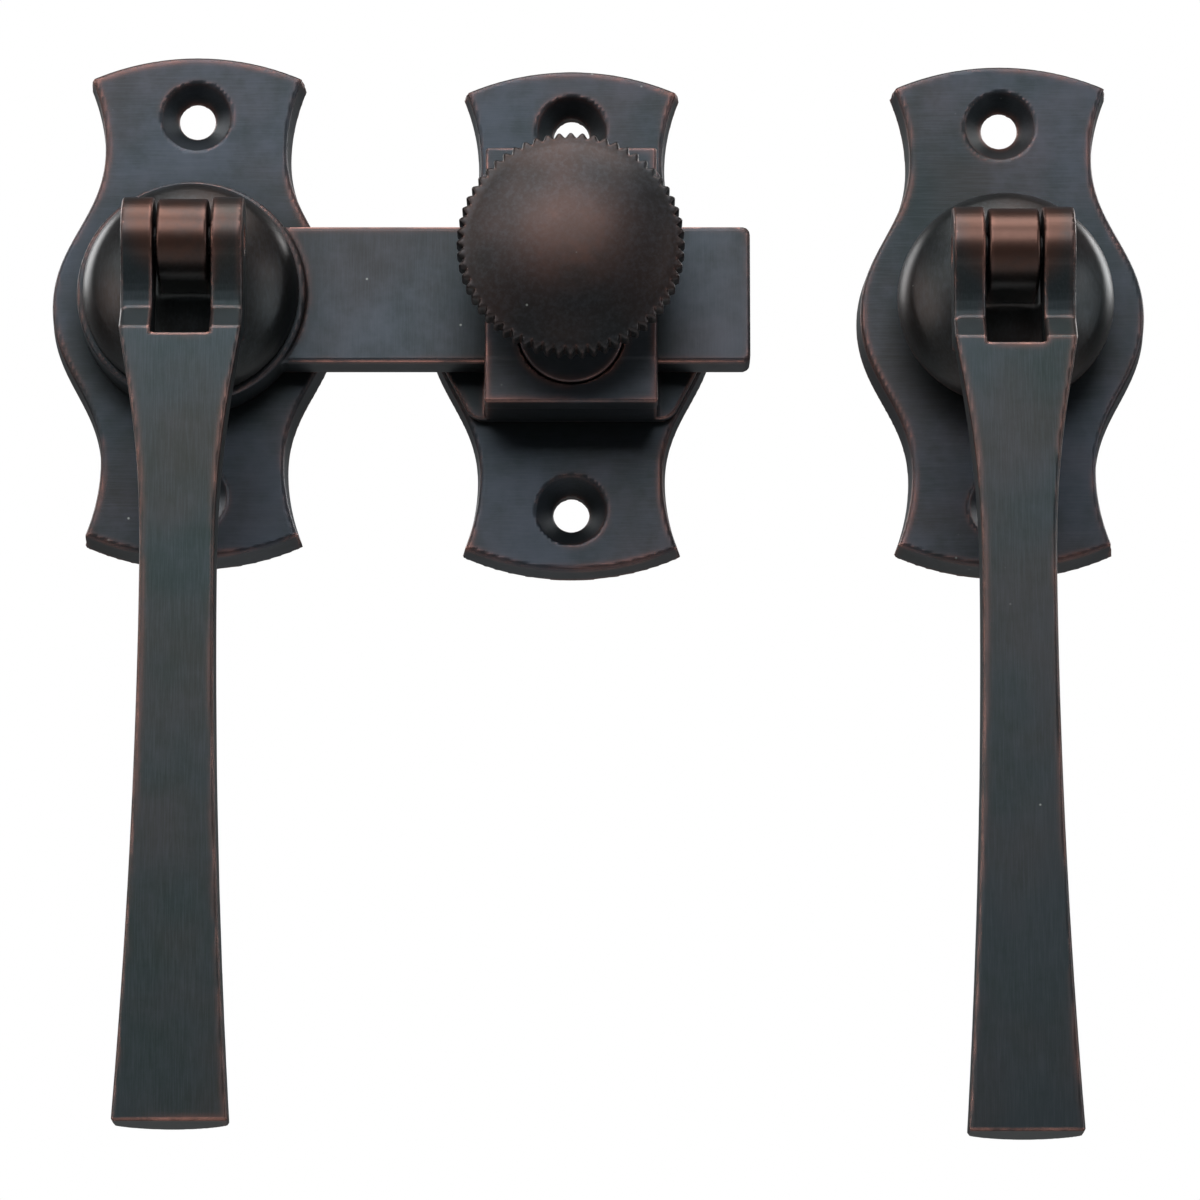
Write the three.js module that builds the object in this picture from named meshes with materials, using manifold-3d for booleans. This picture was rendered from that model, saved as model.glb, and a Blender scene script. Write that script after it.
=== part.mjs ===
// Toggle bolt latch: an inside latch with a swinging bar, a hook keeper with a lock knob,
// and an outside handle with its square spindle. Millimetres.
//
// Each set is drawn in its plate's own frame: x to the right, y up, z out of the door,
// with z = 0 on the door's face. The last group turns that frame so that the object
// stands with +Z up and its fronts face -Y. The origin is on the latch's spindle axis.

import * as THREE from 'three';
import { mergeVertices } from 'three/addons/utils/BufferGeometryUtils.js';
import Module from 'manifold-3d';

const wasm = await Module();
wasm.setup();

// ---------------------------------------------------------------- driving dimensions

const ROUND_STEPS = 28;        // sides of a full circle on small turned pieces
const WIDE_ROUND_STEPS = 48;   // sides of a full circle on the roses
const CURVE_STEPS = 8;         // steps along each curve of an outline

const SEAT_GAP = 0.3;          // between two faces that rest on each other
const RUNNING = 0.08;          // radial clearance of a turning shaft
const PRESSED = 0.03;          // radial clearance of a pressed pin or stud
const SEAM = 0.15;             // gap round an inlaid piece
const OVER = 1;                // how far a cut runs past the face it opens

// The three plates share one outline.
const BULGE_HALF = 16.4;       // half width across the middle
const WAIST_HALF = 10.65;      // half width at the waists
const FLARE_HALF = 12.4;       // half width at the corners
const WAIST_UP = 18.3;         // height of a waist above the plate's centre
const CORNER_UP = 26.9;        // height of a corner
const ARCH_RISE = 2.7;         // rise of the arched ends
const SWEEP = 0.42;            // length of the curve handles between bulge and waist
const PLATE_DRAFT = 0.3;       // how much smaller the front outline is than the back

const HANDLE_PLATE_T = 5.5;    // latch plate and outside plate, over all
const WEB_T = 2.7;             // their front wall
const RIM_WALL = 2.0;          // their side walls
const KEEPER_PLATE_T = 4.0;

const SCREW_UP = 22.25;        // wood screw holes, above and below the centre
const SCREW_HOLE_R = 2.05;
const SINK_R = 4.05;
const SINK_HALF_ANGLE = 41;    // degrees

const KEEPER_X = 42.8;         // the keeper's place beside the latch
const KEEPER_Y = -1.2;
const OUTER_X = 91.7;          // the outside handle's place beside the latch
const OUTER_Y = -1.1;

// Hub: stem, rose and tongue in one casting.
const JOURNAL_R = 4.5;
const STEM_END_GAP = 0.35;     // the stem stops short of the door's face
const DRIVE_SQUARE = 9.2;      // square that carries the bar or the spacer
const ROSE_BASE_R = 12.2;
const ROSE_RIM_R = 11.8;
const ROSE_EDGE_T = 4.4;
const ROSE_EDGE_ROUND = 0.9;
const DOME_RISE = 4.1;
const DOME_STEPS = 5;
const TONGUE_W = 5.65;
const TONGUE_R = 4.6;
const PIVOT_UP = 2.0;          // hinge pin above the spindle axis
const EAR_CLEARANCE = 1.0;     // between the fork's ears and the dome
const HINGE_PIN_R = 1.6;

const SPINDLE_SQUARE = 4.76;
const SPINDLE_PLAY = 0.1;      // the socket is this much wider than the spindle
const SOCKET_DEPTH = 11.0;
const SPINDLE_REACH = 45;      // how far the spindle stands behind the door's face
const SPINDLE_NOSE = 0.6;      // chamfer on its far end
const CROSS_PIN_R = 0.75;
const CROSS_PIN_Z = 8.8;

// Retaining stack in the back of a handle plate.
const WASHER_R = 7.5;
const WASHER_T = 0.5;
const SPRING_R = 7.2;
const SPRING_T = 0.35;
const SPRING_DISH = 0.35;
const STACK_GAP = 0.15;
const RING_R = 6.4;
const RING_T = 0.55;
const RING_GROOVE_DEPTH = 0.45;
const RING_GROOVE_PLAY = 0.1;
const RING_OPENING = 70;       // degrees
const BORE_PLAY = 0.15;        // washers round the stem

// Bar.
const BAR_REACH = 63;          // spindle axis to the bar's end
const BAR_H = 15.9;
const BAR_T = 4.8;
const BAR_CORNER = 0.9;
const BAR_HUB_R = 12.9;
const BAR_HUB_T = 6.0;

// Forked lever, measured from its hinge pin.
const EAR_W = 3.53;            // each ear of the fork
const FORK_PLAY = 0.75;        // the slot is this much wider than the tongue
const FORK_SLOT_DROP = 11.7;   // hinge pin to the bottom of the slot
const EAR_R = 4.8;
const EAR_BLEND_ANGLE = 35;    // degrees below level where the ears run into the neck
const NECK_DROP = 8.4;
const NECK_FRONT = 2.6;
const SHOULDER_DROP = 11.0;
const GRIP_FRONT = 5.2;        // the grip's face stands this far in front of the pin
const GRIP_T = 7.4;            // at the crown of its rounded back
const GRIP_CROWN_R = 7.5;
const GRIP_BACK_TOP = 15;
const GRIP_WAIST_HALF = 4.08;
const GRIP_WAIST_DROP = 37;
const GRIP_END_HALF = 6.35;
const GRIP_END_DROP = 98.7;
const GRIP_TUCK = 1.0;         // how fast the edges draw in under the shoulder

// Keeper hook and its lock.
const BLOCK_W = 19.3;
const WALL_RISE = 8.25;        // the hook's wall stands this far above the bar
const LEG_H = 5.05;            // height of the leg that the bar rests on
const BLOCK_FACE_T = 3.1;
const BAR_BACK_CLEARANCE = 0.25;
const BAR_FRONT_CLEARANCE = 0.45;
const PAD_INSET = 0.6;
const PAD_CORNER = 1.2;
const RIVET_R = 1.5;
const RIVET_HEAD_R = 2.4;
const RIVET_HEAD_T = 0.8;
const LOWER_RIVET_BITE = 3.2;  // how far the lower rivet goes into the hook
const UPPER_RIVET_BITE = 0.8;
const RIVET_X = 6.0;
const RIVET_EDGE = 3.0;        // rivet centres inside the block's top and bottom edges

const KNOB_RISE = 0.9;         // the lock's axis above the middle of the block
const BUSH_R = 5.9;
const BUSH_SPACING = 13.4;     // between the centres of its round ends
const BUSH_PROUD = 0.4;
const BARREL_R = 4.6;
const BARREL_H = 3.6;
const LOCK_SCREW_R = 2.5;
const SHOE_R = 3.4;
const SHOE_T = 1.3;
const SHOE_POCKET_PLAY = 0.2;
const LOCK_TRAVEL = 1.05;      // how far the lock screw backs off
const SCREW_TIP_R = 1.6;
const SCREW_TIP_BITE = 0.6;

const KNOB_TIP_R = 12.7;
const KNOB_ROOT_R = 12.1;
const KNOB_TEETH = 60;
const KNOB_RIM_T = 3.4;
const KNOB_NECK_R = 5.2;
const KNOB_NECK_H = 2.8;
const KNOB_UNDERCUT = 1.0;     // rise of the coned underside
const KNOB_DOME_RISE = 2.7;
const KNOB_SOCKET = 4.5;       // the screw's depth in the knob

// ----------------------------------------------------------------------- derived dimensions

const FORK_SLOT_W = TONGUE_W + FORK_PLAY;
const FORK_W = FORK_SLOT_W + 2 * EAR_W;

// Up and down, from the keeper plate's centre.
const LEG_TOP = -BAR_H / 2 - SEAT_GAP - KEEPER_Y;
const BLOCK_BOTTOM = LEG_TOP - LEG_H;
const BLOCK_TOP = BAR_H / 2 - KEEPER_Y + WALL_RISE;
const BLOCK_UP = (BLOCK_TOP + BLOCK_BOTTOM) / 2;
const LOCK_UP = BLOCK_UP + KNOB_RISE;

// Levels out of the door.

const PLATE_FACE = HANDLE_PLATE_T;
const BAR_BACK = PLATE_FACE + SEAT_GAP;
const BAR_FRONT = BAR_BACK + BAR_T;
const BAR_HUB_FRONT = BAR_BACK + BAR_HUB_T;
const ROSE_BACK = BAR_HUB_FRONT + SEAT_GAP;
const ROSE_RIM = ROSE_BACK + ROSE_EDGE_T;
const DOME_TOP = ROSE_RIM + DOME_RISE;
const PIVOT_Z = DOME_TOP + EAR_CLEARANCE + EAR_R;

const PAD_BACK = KEEPER_PLATE_T + SEAT_GAP;
const PAD_FACE = BAR_BACK - BAR_BACK_CLEARANCE;
const BLOCK_INSIDE = BAR_FRONT + BAR_FRONT_CLEARANCE;
const BLOCK_FACE = BLOCK_INSIDE + BLOCK_FACE_T;
const BARREL_TOP = BLOCK_FACE + BUSH_PROUD + BARREL_H;
const SHOE_BACK = BAR_FRONT + SEAT_GAP;
const SHOE_FRONT = SHOE_BACK + SHOE_T;
const POCKET_TOP = SHOE_FRONT + LOCK_TRAVEL + SEAT_GAP;
const KNOB_BACK = BARREL_TOP + SEAT_GAP;
const KNOB_RIM_BACK = KNOB_BACK + KNOB_NECK_H;
const KNOB_RIM_FRONT = KNOB_RIM_BACK + KNOB_RIM_T;

// ----------------------------------------------------------------------- solid helpers

const degrees = THREE.MathUtils.degToRad;

function solid(geometry) {
  const bare = geometry.clone();
  bare.deleteAttribute('normal');
  bare.deleteAttribute('uv');
  const welded = mergeVertices(bare);
  const corners = welded.index.array;
  const kept = [];
  for (let i = 0; i < corners.length; i += 3) {
    const [a, b, c] = [corners[i], corners[i + 1], corners[i + 2]];
    if (a !== b && b !== c && c !== a) kept.push(a, b, c);
  }
  return new wasm.Manifold(new wasm.Mesh({
    numProp: 3,
    vertProperties: Float32Array.from(welded.attributes.position.array),
    triVerts: Uint32Array.from(kept),
  }));
}

function geometryOf(manifold) {
  const mesh = manifold.getMesh();
  const geometry = new THREE.BufferGeometry();
  geometry.setAttribute('position', new THREE.BufferAttribute(mesh.vertProperties, mesh.numProp));
  geometry.setIndex(new THREE.BufferAttribute(mesh.triVerts, 1));
  geometry.computeVertexNormals();
  return geometry;
}

// An outline in x and y, from one level to another.
function slab(shape, back, front, steps = CURVE_STEPS) {
  const geometry = new THREE.ExtrudeGeometry(shape, {
    depth: front - back,
    bevelEnabled: false,
    curveSegments: steps,
  });
  return geometry.translate(0, 0, back);
}

// A profile of [radius, level] pairs turned round the z axis.
function turned(profile, steps = ROUND_STEPS) {
  const points = profile.map(([radius, level]) => new THREE.Vector2(radius, level));
  return new THREE.LatheGeometry(points, steps).rotateX(Math.PI / 2);
}

function disc(radius, back, front, steps = ROUND_STEPS) {
  return turned([[0, back], [radius, back], [radius, front], [0, front]], steps);
}

function ring(inner, outer, back, front) {
  return turned([[inner, back], [outer, back], [outer, front], [inner, front], [inner, back]]);
}

function block(width, height, back, front) {
  const geometry = new THREE.BoxGeometry(width, height, front - back);
  return geometry.translate(0, 0, (front + back) / 2);
}

// A side profile, drawn as x = level and y = up, made into a solid of a given width in x.
function sideways(shape, width) {
  const geometry = new THREE.ExtrudeGeometry(shape, {
    depth: width,
    bevelEnabled: false,
    curveSegments: CURVE_STEPS,
  });
  return geometry.rotateY(-Math.PI / 2).translate(width / 2, 0, 0);
}

// A round rod along x, centred on x = 0.
function crossRod(radius, length) {
  return new THREE.CylinderGeometry(radius, radius, length, ROUND_STEPS).rotateZ(Math.PI / 2);
}

// ------------------------------------------------------------------------------ plates

// The waisted outline, drawn inset from its edge.
function plateShape(inset) {
  const bulge = BULGE_HALF - inset;
  const waist = WAIST_HALF - inset;
  const flare = FLARE_HALF - inset;
  const corner = CORNER_UP - inset;
  const crown = corner + ARCH_RISE;
  const handle = SWEEP * WAIST_UP;
  const archR = (flare ** 2 + ARCH_RISE ** 2) / (2 * ARCH_RISE);
  const archHalf = Math.asin(flare / archR);
  const shape = new THREE.Shape();
  shape.moveTo(bulge, 0);
  shape.bezierCurveTo(bulge, handle, waist, WAIST_UP - handle, waist, WAIST_UP);
  shape.quadraticCurveTo(waist, (WAIST_UP + corner) / 2, flare, corner);
  shape.absarc(0, crown - archR, archR, Math.PI / 2 - archHalf, Math.PI / 2 + archHalf, false);
  shape.quadraticCurveTo(-waist, (WAIST_UP + corner) / 2, -waist, WAIST_UP);
  shape.bezierCurveTo(-waist, WAIST_UP - handle, -bulge, handle, -bulge, 0);
  shape.bezierCurveTo(-bulge, -handle, -waist, handle - WAIST_UP, -waist, -WAIST_UP);
  shape.quadraticCurveTo(-waist, -(WAIST_UP + corner) / 2, -flare, -corner);
  shape.absarc(0, archR - crown, archR, -Math.PI / 2 - archHalf, -Math.PI / 2 + archHalf, false);
  shape.quadraticCurveTo(waist, -(WAIST_UP + corner) / 2, waist, -WAIST_UP);
  shape.bezierCurveTo(waist, handle - WAIST_UP, bulge, -handle, bulge, 0);
  return shape;
}

// Draws the front face in by the casting's draft.
function drafted(geometry, front) {
  const position = geometry.attributes.position;
  const narrower = 1 - PLATE_DRAFT / BULGE_HALF;
  const shorter = 1 - PLATE_DRAFT / (CORNER_UP + ARCH_RISE);
  for (let i = 0; i < position.count; i += 1) {
    if (position.getZ(i) > front / 2) {
      position.setX(i, position.getX(i) * narrower);
      position.setY(i, position.getY(i) * shorter);
    }
  }
  return geometry;
}

// A countersunk hole for a wood screw, through a plate whose face is at the given level.
function screwHole(face) {
  const sinkDepth = (SINK_R - SCREW_HOLE_R) / Math.tan(degrees(SINK_HALF_ANGLE));
  const mouthR = SINK_R + OVER * Math.tan(degrees(SINK_HALF_ANGLE));
  return solid(turned([
    [0, -OVER],
    [SCREW_HOLE_R, -OVER],
    [SCREW_HOLE_R, face - sinkDepth],
    [mouthR, face + OVER],
    [0, face + OVER],
  ]));
}

function plateWithScrewHoles(thickness) {
  let plate = solid(drafted(slab(plateShape(0), 0, thickness), thickness));
  for (const up of [SCREW_UP, -SCREW_UP]) {
    plate = plate.subtract(screwHole(thickness).translate([0, up, 0]));
  }
  return plate;
}

function handlePlate() {
  const pocket = solid(slab(plateShape(RIM_WALL), -OVER, HANDLE_PLATE_T - WEB_T));
  const bore = solid(disc(JOURNAL_R + RUNNING, 0, HANDLE_PLATE_T + OVER));
  return plateWithScrewHoles(HANDLE_PLATE_T).subtract(pocket).subtract(bore);
}

// -------------------------------------------------------------------------- hub and bar

function squareBar(side, back, front) {
  return solid(block(side, side, back, front));
}

const POCKET_FLOOR = HANDLE_PLATE_T - WEB_T;
const WASHER_FRONT = POCKET_FLOOR - STACK_GAP;
const SPRING_FRONT = WASHER_FRONT - WASHER_T - STACK_GAP;
const RING_FRONT = SPRING_FRONT - SPRING_T - SPRING_DISH - STACK_GAP;
const RING_BACK = RING_FRONT - RING_T;

// The dome's section from its rim to its top, as [radius, level] pairs.
function domeProfile(rimR, rimLevel, rise) {
  const sphereR = (rimR ** 2 + rise ** 2) / (2 * rise);
  const spread = Math.asin(rimR / sphereR);
  const profile = [];
  for (let step = 0; step <= DOME_STEPS; step += 1) {
    const angle = spread * (1 - step / DOME_STEPS);
    const level = rimLevel + rise - sphereR + sphereR * Math.cos(angle);
    profile.push([step === DOME_STEPS ? 0 : sphereR * Math.sin(angle), level]);
  }
  return profile;
}

function hub() {
  const stem = solid(disc(JOURNAL_R, STEM_END_GAP, BAR_BACK));
  const groove = solid(ring(
    JOURNAL_R - RING_GROOVE_DEPTH,
    JOURNAL_R + OVER,
    RING_BACK - RING_GROOVE_PLAY,
    RING_FRONT + RING_GROOVE_PLAY,
  ));
  const drive = squareBar(DRIVE_SQUARE, BAR_BACK, ROSE_BACK + OVER);
  const rose = solid(turned([
    [0, ROSE_BACK],
    [ROSE_BASE_R, ROSE_BACK],
    [ROSE_RIM_R, ROSE_RIM - ROSE_EDGE_ROUND],
    ...domeProfile(ROSE_RIM_R - ROSE_EDGE_ROUND, ROSE_RIM, DOME_RISE),
  ], WIDE_ROUND_STEPS));
  const side = new THREE.Shape();
  side.moveTo(ROSE_RIM - OVER, PIVOT_UP - TONGUE_R);
  side.lineTo(PIVOT_Z, PIVOT_UP - TONGUE_R);
  side.absarc(PIVOT_Z, PIVOT_UP, TONGUE_R, -Math.PI / 2, Math.PI / 2, false);
  side.lineTo(ROSE_RIM - OVER, PIVOT_UP + TONGUE_R);
  side.closePath();
  const tongue = solid(sideways(side, TONGUE_W));
  const pinBore = solid(crossRod(HINGE_PIN_R + RUNNING, TONGUE_W + 2 * OVER))
    .translate([0, PIVOT_UP, PIVOT_Z]);
  const socket = squareBar(
    SPINDLE_SQUARE + SPINDLE_PLAY,
    STEM_END_GAP - OVER,
    STEM_END_GAP + SOCKET_DEPTH,
  );
  return stem.add(drive).add(rose).add(tongue).subtract(groove).subtract(pinBore).subtract(socket);
}

function driveHole() {
  return squareBar(DRIVE_SQUARE + 2 * SEAM, BAR_BACK - OVER, ROSE_BACK + OVER);
}

function bar() {
  const outline = new THREE.Shape();
  const half = BAR_H / 2;
  outline.moveTo(0, -half);
  outline.lineTo(BAR_REACH - BAR_CORNER, -half);
  outline.absarc(BAR_REACH - BAR_CORNER, BAR_CORNER - half, BAR_CORNER, -Math.PI / 2, 0, false);
  outline.absarc(BAR_REACH - BAR_CORNER, half - BAR_CORNER, BAR_CORNER, 0, Math.PI / 2, false);
  outline.lineTo(0, half);
  outline.closePath();
  const blade = solid(slab(outline, BAR_BACK, BAR_FRONT));
  const eye = solid(disc(BAR_HUB_R, BAR_BACK, BAR_HUB_FRONT, WIDE_ROUND_STEPS));
  return blade.add(eye).subtract(driveHole());
}

function spacer() {
  const collarR = ROSE_BASE_R - 2 * ROSE_EDGE_ROUND;
  return solid(disc(collarR, BAR_BACK, BAR_HUB_FRONT)).subtract(driveHole());
}

function flatWasher() {
  return solid(ring(JOURNAL_R + BORE_PLAY, WASHER_R, WASHER_FRONT - WASHER_T, WASHER_FRONT));
}

function springWasher() {
  const inner = JOURNAL_R + BORE_PLAY;
  return solid(turned([
    [inner, SPRING_FRONT - SPRING_T - SPRING_DISH],
    [SPRING_R, SPRING_FRONT - SPRING_T],
    [SPRING_R, SPRING_FRONT],
    [inner, SPRING_FRONT - SPRING_DISH],
    [inner, SPRING_FRONT - SPRING_T - SPRING_DISH],
  ]));
}

function retainingRing() {
  const inner = JOURNAL_R - RING_GROOVE_DEPTH + PRESSED;
  const from = degrees(RING_OPENING / 2 - 90);
  const to = degrees(270 - RING_OPENING / 2);
  const outline = new THREE.Shape();
  outline.absarc(0, 0, RING_R, from, to, false);
  outline.absarc(0, 0, inner, to, from, true);
  outline.closePath();
  return solid(slab(outline, RING_BACK, RING_FRONT, ROUND_STEPS));
}

function spindle() {
  const half = SPINDLE_SQUARE / 2;
  const top = STEM_END_GAP + SOCKET_DEPTH - SEAT_GAP;
  const side = new THREE.Shape();
  side.moveTo(top, -half);
  side.lineTo(top, half);
  side.lineTo(SPINDLE_NOSE - SPINDLE_REACH, half);
  side.lineTo(-SPINDLE_REACH, half - SPINDLE_NOSE);
  side.lineTo(-SPINDLE_REACH, SPINDLE_NOSE - half);
  side.lineTo(SPINDLE_NOSE - SPINDLE_REACH, -half);
  side.closePath();
  return solid(sideways(side, SPINDLE_SQUARE)).subtract(crossPinHole());
}

function crossPinHole() {
  const hole = solid(crossRod(CROSS_PIN_R + PRESSED, DRIVE_SQUARE + 2 * OVER));
  return hole.translate([0, 0, CROSS_PIN_Z]);
}

function crossPin() {
  return solid(crossRod(CROSS_PIN_R, DRIVE_SQUARE - 2 * SEAM)).translate([0, 0, CROSS_PIN_Z]);
}

// ------------------------------------------------------------------------------- lever

// The lever hangs from the hinge pin: its own frame has x across, y up and z out.
function lever() {
  const blend = degrees(EAR_BLEND_ANGLE);
  const blendOut = EAR_R * Math.cos(blend);
  const blendDown = -EAR_R * Math.sin(blend);
  const gripBack = GRIP_FRONT - GRIP_T;
  const side = new THREE.Shape();
  side.moveTo(blendOut, blendDown);
  side.absarc(0, 0, EAR_R, -blend, Math.PI + blend, false);
  side.quadraticCurveTo(gripBack, -NECK_DROP, gripBack, -GRIP_BACK_TOP);
  side.lineTo(gripBack, -GRIP_END_DROP);
  side.lineTo(GRIP_FRONT, -GRIP_END_DROP);
  side.lineTo(GRIP_FRONT, -SHOULDER_DROP);
  side.lineTo(NECK_FRONT, -NECK_DROP);
  side.quadraticCurveTo(NECK_FRONT, (blendDown - NECK_DROP) / 2, blendOut, blendDown);

  const forkHalf = FORK_W / 2;
  const bend = (GRIP_WAIST_DROP - SHOULDER_DROP) / 2;
  const face = new THREE.Shape();
  face.moveTo(-forkHalf, EAR_R + OVER);
  face.lineTo(-forkHalf, -SHOULDER_DROP);
  face.bezierCurveTo(
    GRIP_TUCK - forkHalf, -SHOULDER_DROP - bend / 2,
    -GRIP_WAIST_HALF, bend - GRIP_WAIST_DROP,
    -GRIP_WAIST_HALF, -GRIP_WAIST_DROP,
  );
  const swell = (GRIP_WAIST_DROP + GRIP_END_DROP) / 2;
  face.quadraticCurveTo(-GRIP_WAIST_HALF, -swell, -GRIP_END_HALF, -GRIP_END_DROP - OVER);
  face.lineTo(GRIP_END_HALF, -GRIP_END_DROP - OVER);
  face.quadraticCurveTo(GRIP_WAIST_HALF, -swell, GRIP_WAIST_HALF, -GRIP_WAIST_DROP);
  face.bezierCurveTo(
    GRIP_WAIST_HALF, bend - GRIP_WAIST_DROP,
    forkHalf - GRIP_TUCK, -SHOULDER_DROP - bend / 2,
    forkHalf, -SHOULDER_DROP,
  );
  face.lineTo(forkHalf, EAR_R + OVER);
  face.closePath();

  const reach = 2 * EAR_R;
  const gripLength = GRIP_END_DROP + 2 * OVER;
  const crown = new THREE.CylinderGeometry(
    GRIP_CROWN_R, GRIP_CROWN_R, gripLength, WIDE_ROUND_STEPS,
  ).translate(0, -gripLength / 2, gripBack + GRIP_CROWN_R);
  const fork = new THREE.BoxGeometry(FORK_W + 2 * OVER, SHOULDER_DROP + 2 * reach, 2 * reach)
    .translate(0, reach - SHOULDER_DROP / 2, 0);
  const slot = new THREE.BoxGeometry(FORK_SLOT_W, FORK_SLOT_DROP + reach, 2 * reach)
    .translate(0, (reach - FORK_SLOT_DROP) / 2, 0);
  return solid(sideways(side, FORK_W))
    .intersect(solid(slab(face, -reach, reach)))
    .intersect(solid(crown).add(solid(fork)))
    .subtract(solid(slot))
    .subtract(solid(crossRod(HINGE_PIN_R + PRESSED, FORK_W + 2 * OVER)));
}

function hingePin() {
  return solid(crossRod(HINGE_PIN_R, FORK_W - 2 * SEAM));
}

// ------------------------------------------------------------------------------ keeper

const RIVET_PLACES = [
  { name: 'keeper_rivet_lower_left', x: -RIVET_X, up: BLOCK_BOTTOM + RIVET_EDGE },
  { name: 'keeper_rivet_lower_right', x: RIVET_X, up: BLOCK_BOTTOM + RIVET_EDGE },
  { name: 'keeper_rivet_upper_left', x: -RIVET_X, up: BLOCK_TOP - RIVET_EDGE },
  { name: 'keeper_rivet_upper_right', x: RIVET_X, up: BLOCK_TOP - RIVET_EDGE },
];

function rivetBite(place) {
  return place.up < 0 ? LOWER_RIVET_BITE : UPPER_RIVET_BITE;
}

// A rivet with its head sunk in the plate's back, grown by a clearance to make its hole.
function rivetSolid(place, clearance) {
  const shankR = RIVET_R + clearance;
  const headR = RIVET_HEAD_R + clearance;
  const back = SEAT_GAP - (clearance > 0 ? OVER : 0);
  const tip = PAD_BACK + rivetBite(place) + clearance;
  return solid(turned([
    [0, back],
    [headR, back],
    [headR, SEAT_GAP + RIVET_HEAD_T + clearance],
    [shankR, SEAT_GAP + RIVET_HEAD_T + clearance],
    [shankR, tip],
    [0, tip],
  ])).translate([place.x, place.up, 0]);
}

function keeperPlate() {
  let plate = plateWithScrewHoles(KEEPER_PLATE_T);
  for (const place of RIVET_PLACES) plate = plate.subtract(rivetSolid(place, PRESSED));
  return plate;
}

function obround(radius) {
  const half = BUSH_SPACING / 2;
  const shape = new THREE.Shape();
  shape.absarc(0, BLOCK_UP + half, radius, 0, Math.PI, false);
  shape.absarc(0, BLOCK_UP - half, radius, Math.PI, 2 * Math.PI, false);
  shape.closePath();
  return shape;
}

function keeperHook() {
  const wide = 2 * BULGE_HALF;
  const band = new THREE.Shape();
  band.moveTo(-wide, BLOCK_BOTTOM);
  band.lineTo(wide, BLOCK_BOTTOM);
  band.lineTo(wide, BLOCK_TOP);
  band.lineTo(-wide, BLOCK_TOP);
  band.closePath();
  const pad = solid(slab(plateShape(PAD_INSET), PAD_BACK, PAD_FACE))
    .intersect(solid(slab(band, PAD_BACK - OVER, PAD_FACE + OVER)));
  const legMiddle = (LEG_TOP + BLOCK_BOTTOM) / 2;
  const leg = solid(block(BLOCK_W, LEG_TOP - BLOCK_BOTTOM, PAD_BACK, BLOCK_FACE))
    .translate([0, legMiddle, 0]);
  const cover = solid(block(BLOCK_W, BLOCK_TOP - BLOCK_BOTTOM, BLOCK_INSIDE, BLOCK_FACE))
    .translate([0, BLOCK_UP, 0]);
  let hook = pad.add(leg).add(cover)
    .subtract(solid(slab(obround(BUSH_R + SEAM), BLOCK_INSIDE - OVER, BLOCK_FACE + OVER)));
  for (const place of RIVET_PLACES) hook = hook.subtract(rivetSolid(place, PRESSED));
  return hook;
}

// The obround bush is let into the hook's face; its barrel carries the lock screw's thread.
function lockBush() {
  const inlay = solid(slab(obround(BUSH_R), BLOCK_INSIDE, BLOCK_FACE + BUSH_PROUD));
  const barrel = solid(disc(BARREL_R, BLOCK_FACE, BARREL_TOP)).translate([0, LOCK_UP, 0]);
  const pocket = solid(disc(SHOE_R + SHOE_POCKET_PLAY, BLOCK_INSIDE - OVER, POCKET_TOP));
  const thread = solid(disc(LOCK_SCREW_R + RUNNING, BLOCK_INSIDE, BARREL_TOP + OVER));
  return inlay.add(barrel).subtract(pocket.add(thread).translate([0, LOCK_UP, 0]));
}

function clampShoe() {
  const seatBack = SHOE_FRONT - SCREW_TIP_BITE;
  const seat = solid(disc(SCREW_TIP_R + RUNNING, seatBack, SHOE_FRONT + OVER));
  return solid(disc(SHOE_R, SHOE_BACK, SHOE_FRONT)).subtract(seat);
}

function lockScrew() {
  return solid(turned([
    [0, SHOE_FRONT - SCREW_TIP_BITE + RUNNING],
    [SCREW_TIP_R, SHOE_FRONT - SCREW_TIP_BITE + RUNNING],
    [SCREW_TIP_R, SHOE_FRONT + RUNNING],
    [LOCK_SCREW_R, SHOE_FRONT + RUNNING],
    [LOCK_SCREW_R, KNOB_BACK + KNOB_SOCKET],
    [0, KNOB_BACK + KNOB_SOCKET],
  ]));
}

function lockKnob() {
  const outline = new THREE.Shape();
  for (let i = 0; i < 2 * KNOB_TEETH; i += 1) {
    const radius = i % 2 === 0 ? KNOB_TIP_R : KNOB_ROOT_R;
    const angle = (Math.PI * i) / KNOB_TEETH;
    const [x, y] = [radius * Math.cos(angle), radius * Math.sin(angle)];
    if (i === 0) outline.moveTo(x, y);
    else outline.lineTo(x, y);
  }
  outline.closePath();
  const rim = solid(slab(outline, KNOB_RIM_BACK, KNOB_RIM_FRONT));
  const body = solid(turned([
    [0, KNOB_BACK],
    [KNOB_NECK_R, KNOB_BACK],
    [KNOB_NECK_R, KNOB_RIM_BACK - KNOB_UNDERCUT],
    [KNOB_ROOT_R - KNOB_UNDERCUT, KNOB_RIM_BACK],
    [KNOB_ROOT_R, KNOB_RIM_BACK + KNOB_UNDERCUT],
    ...domeProfile(KNOB_ROOT_R - PRESSED, KNOB_RIM_FRONT, KNOB_DOME_RISE),
  ], KNOB_TEETH));
  const socketTop = KNOB_BACK + KNOB_SOCKET + SEAM;
  const socket = solid(disc(LOCK_SCREW_R + PRESSED, KNOB_BACK - OVER, socketTop));
  return rim.add(body).subtract(socket);
}

// ---------------------------------------------------------------------------- assembly

function finish(color, roughness, metalness) {
  return () => new THREE.MeshStandardMaterial({ color, roughness, metalness });
}

const bronze = finish(0x33363a, 0.42, 0.85);
const wornBronze = finish(0x4a342b, 0.38, 0.85);
const pinSteel = finish(0x6d6a66, 0.35, 1.0);
const springSteel = finish(0x7f8387, 0.3, 1.0);

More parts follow.
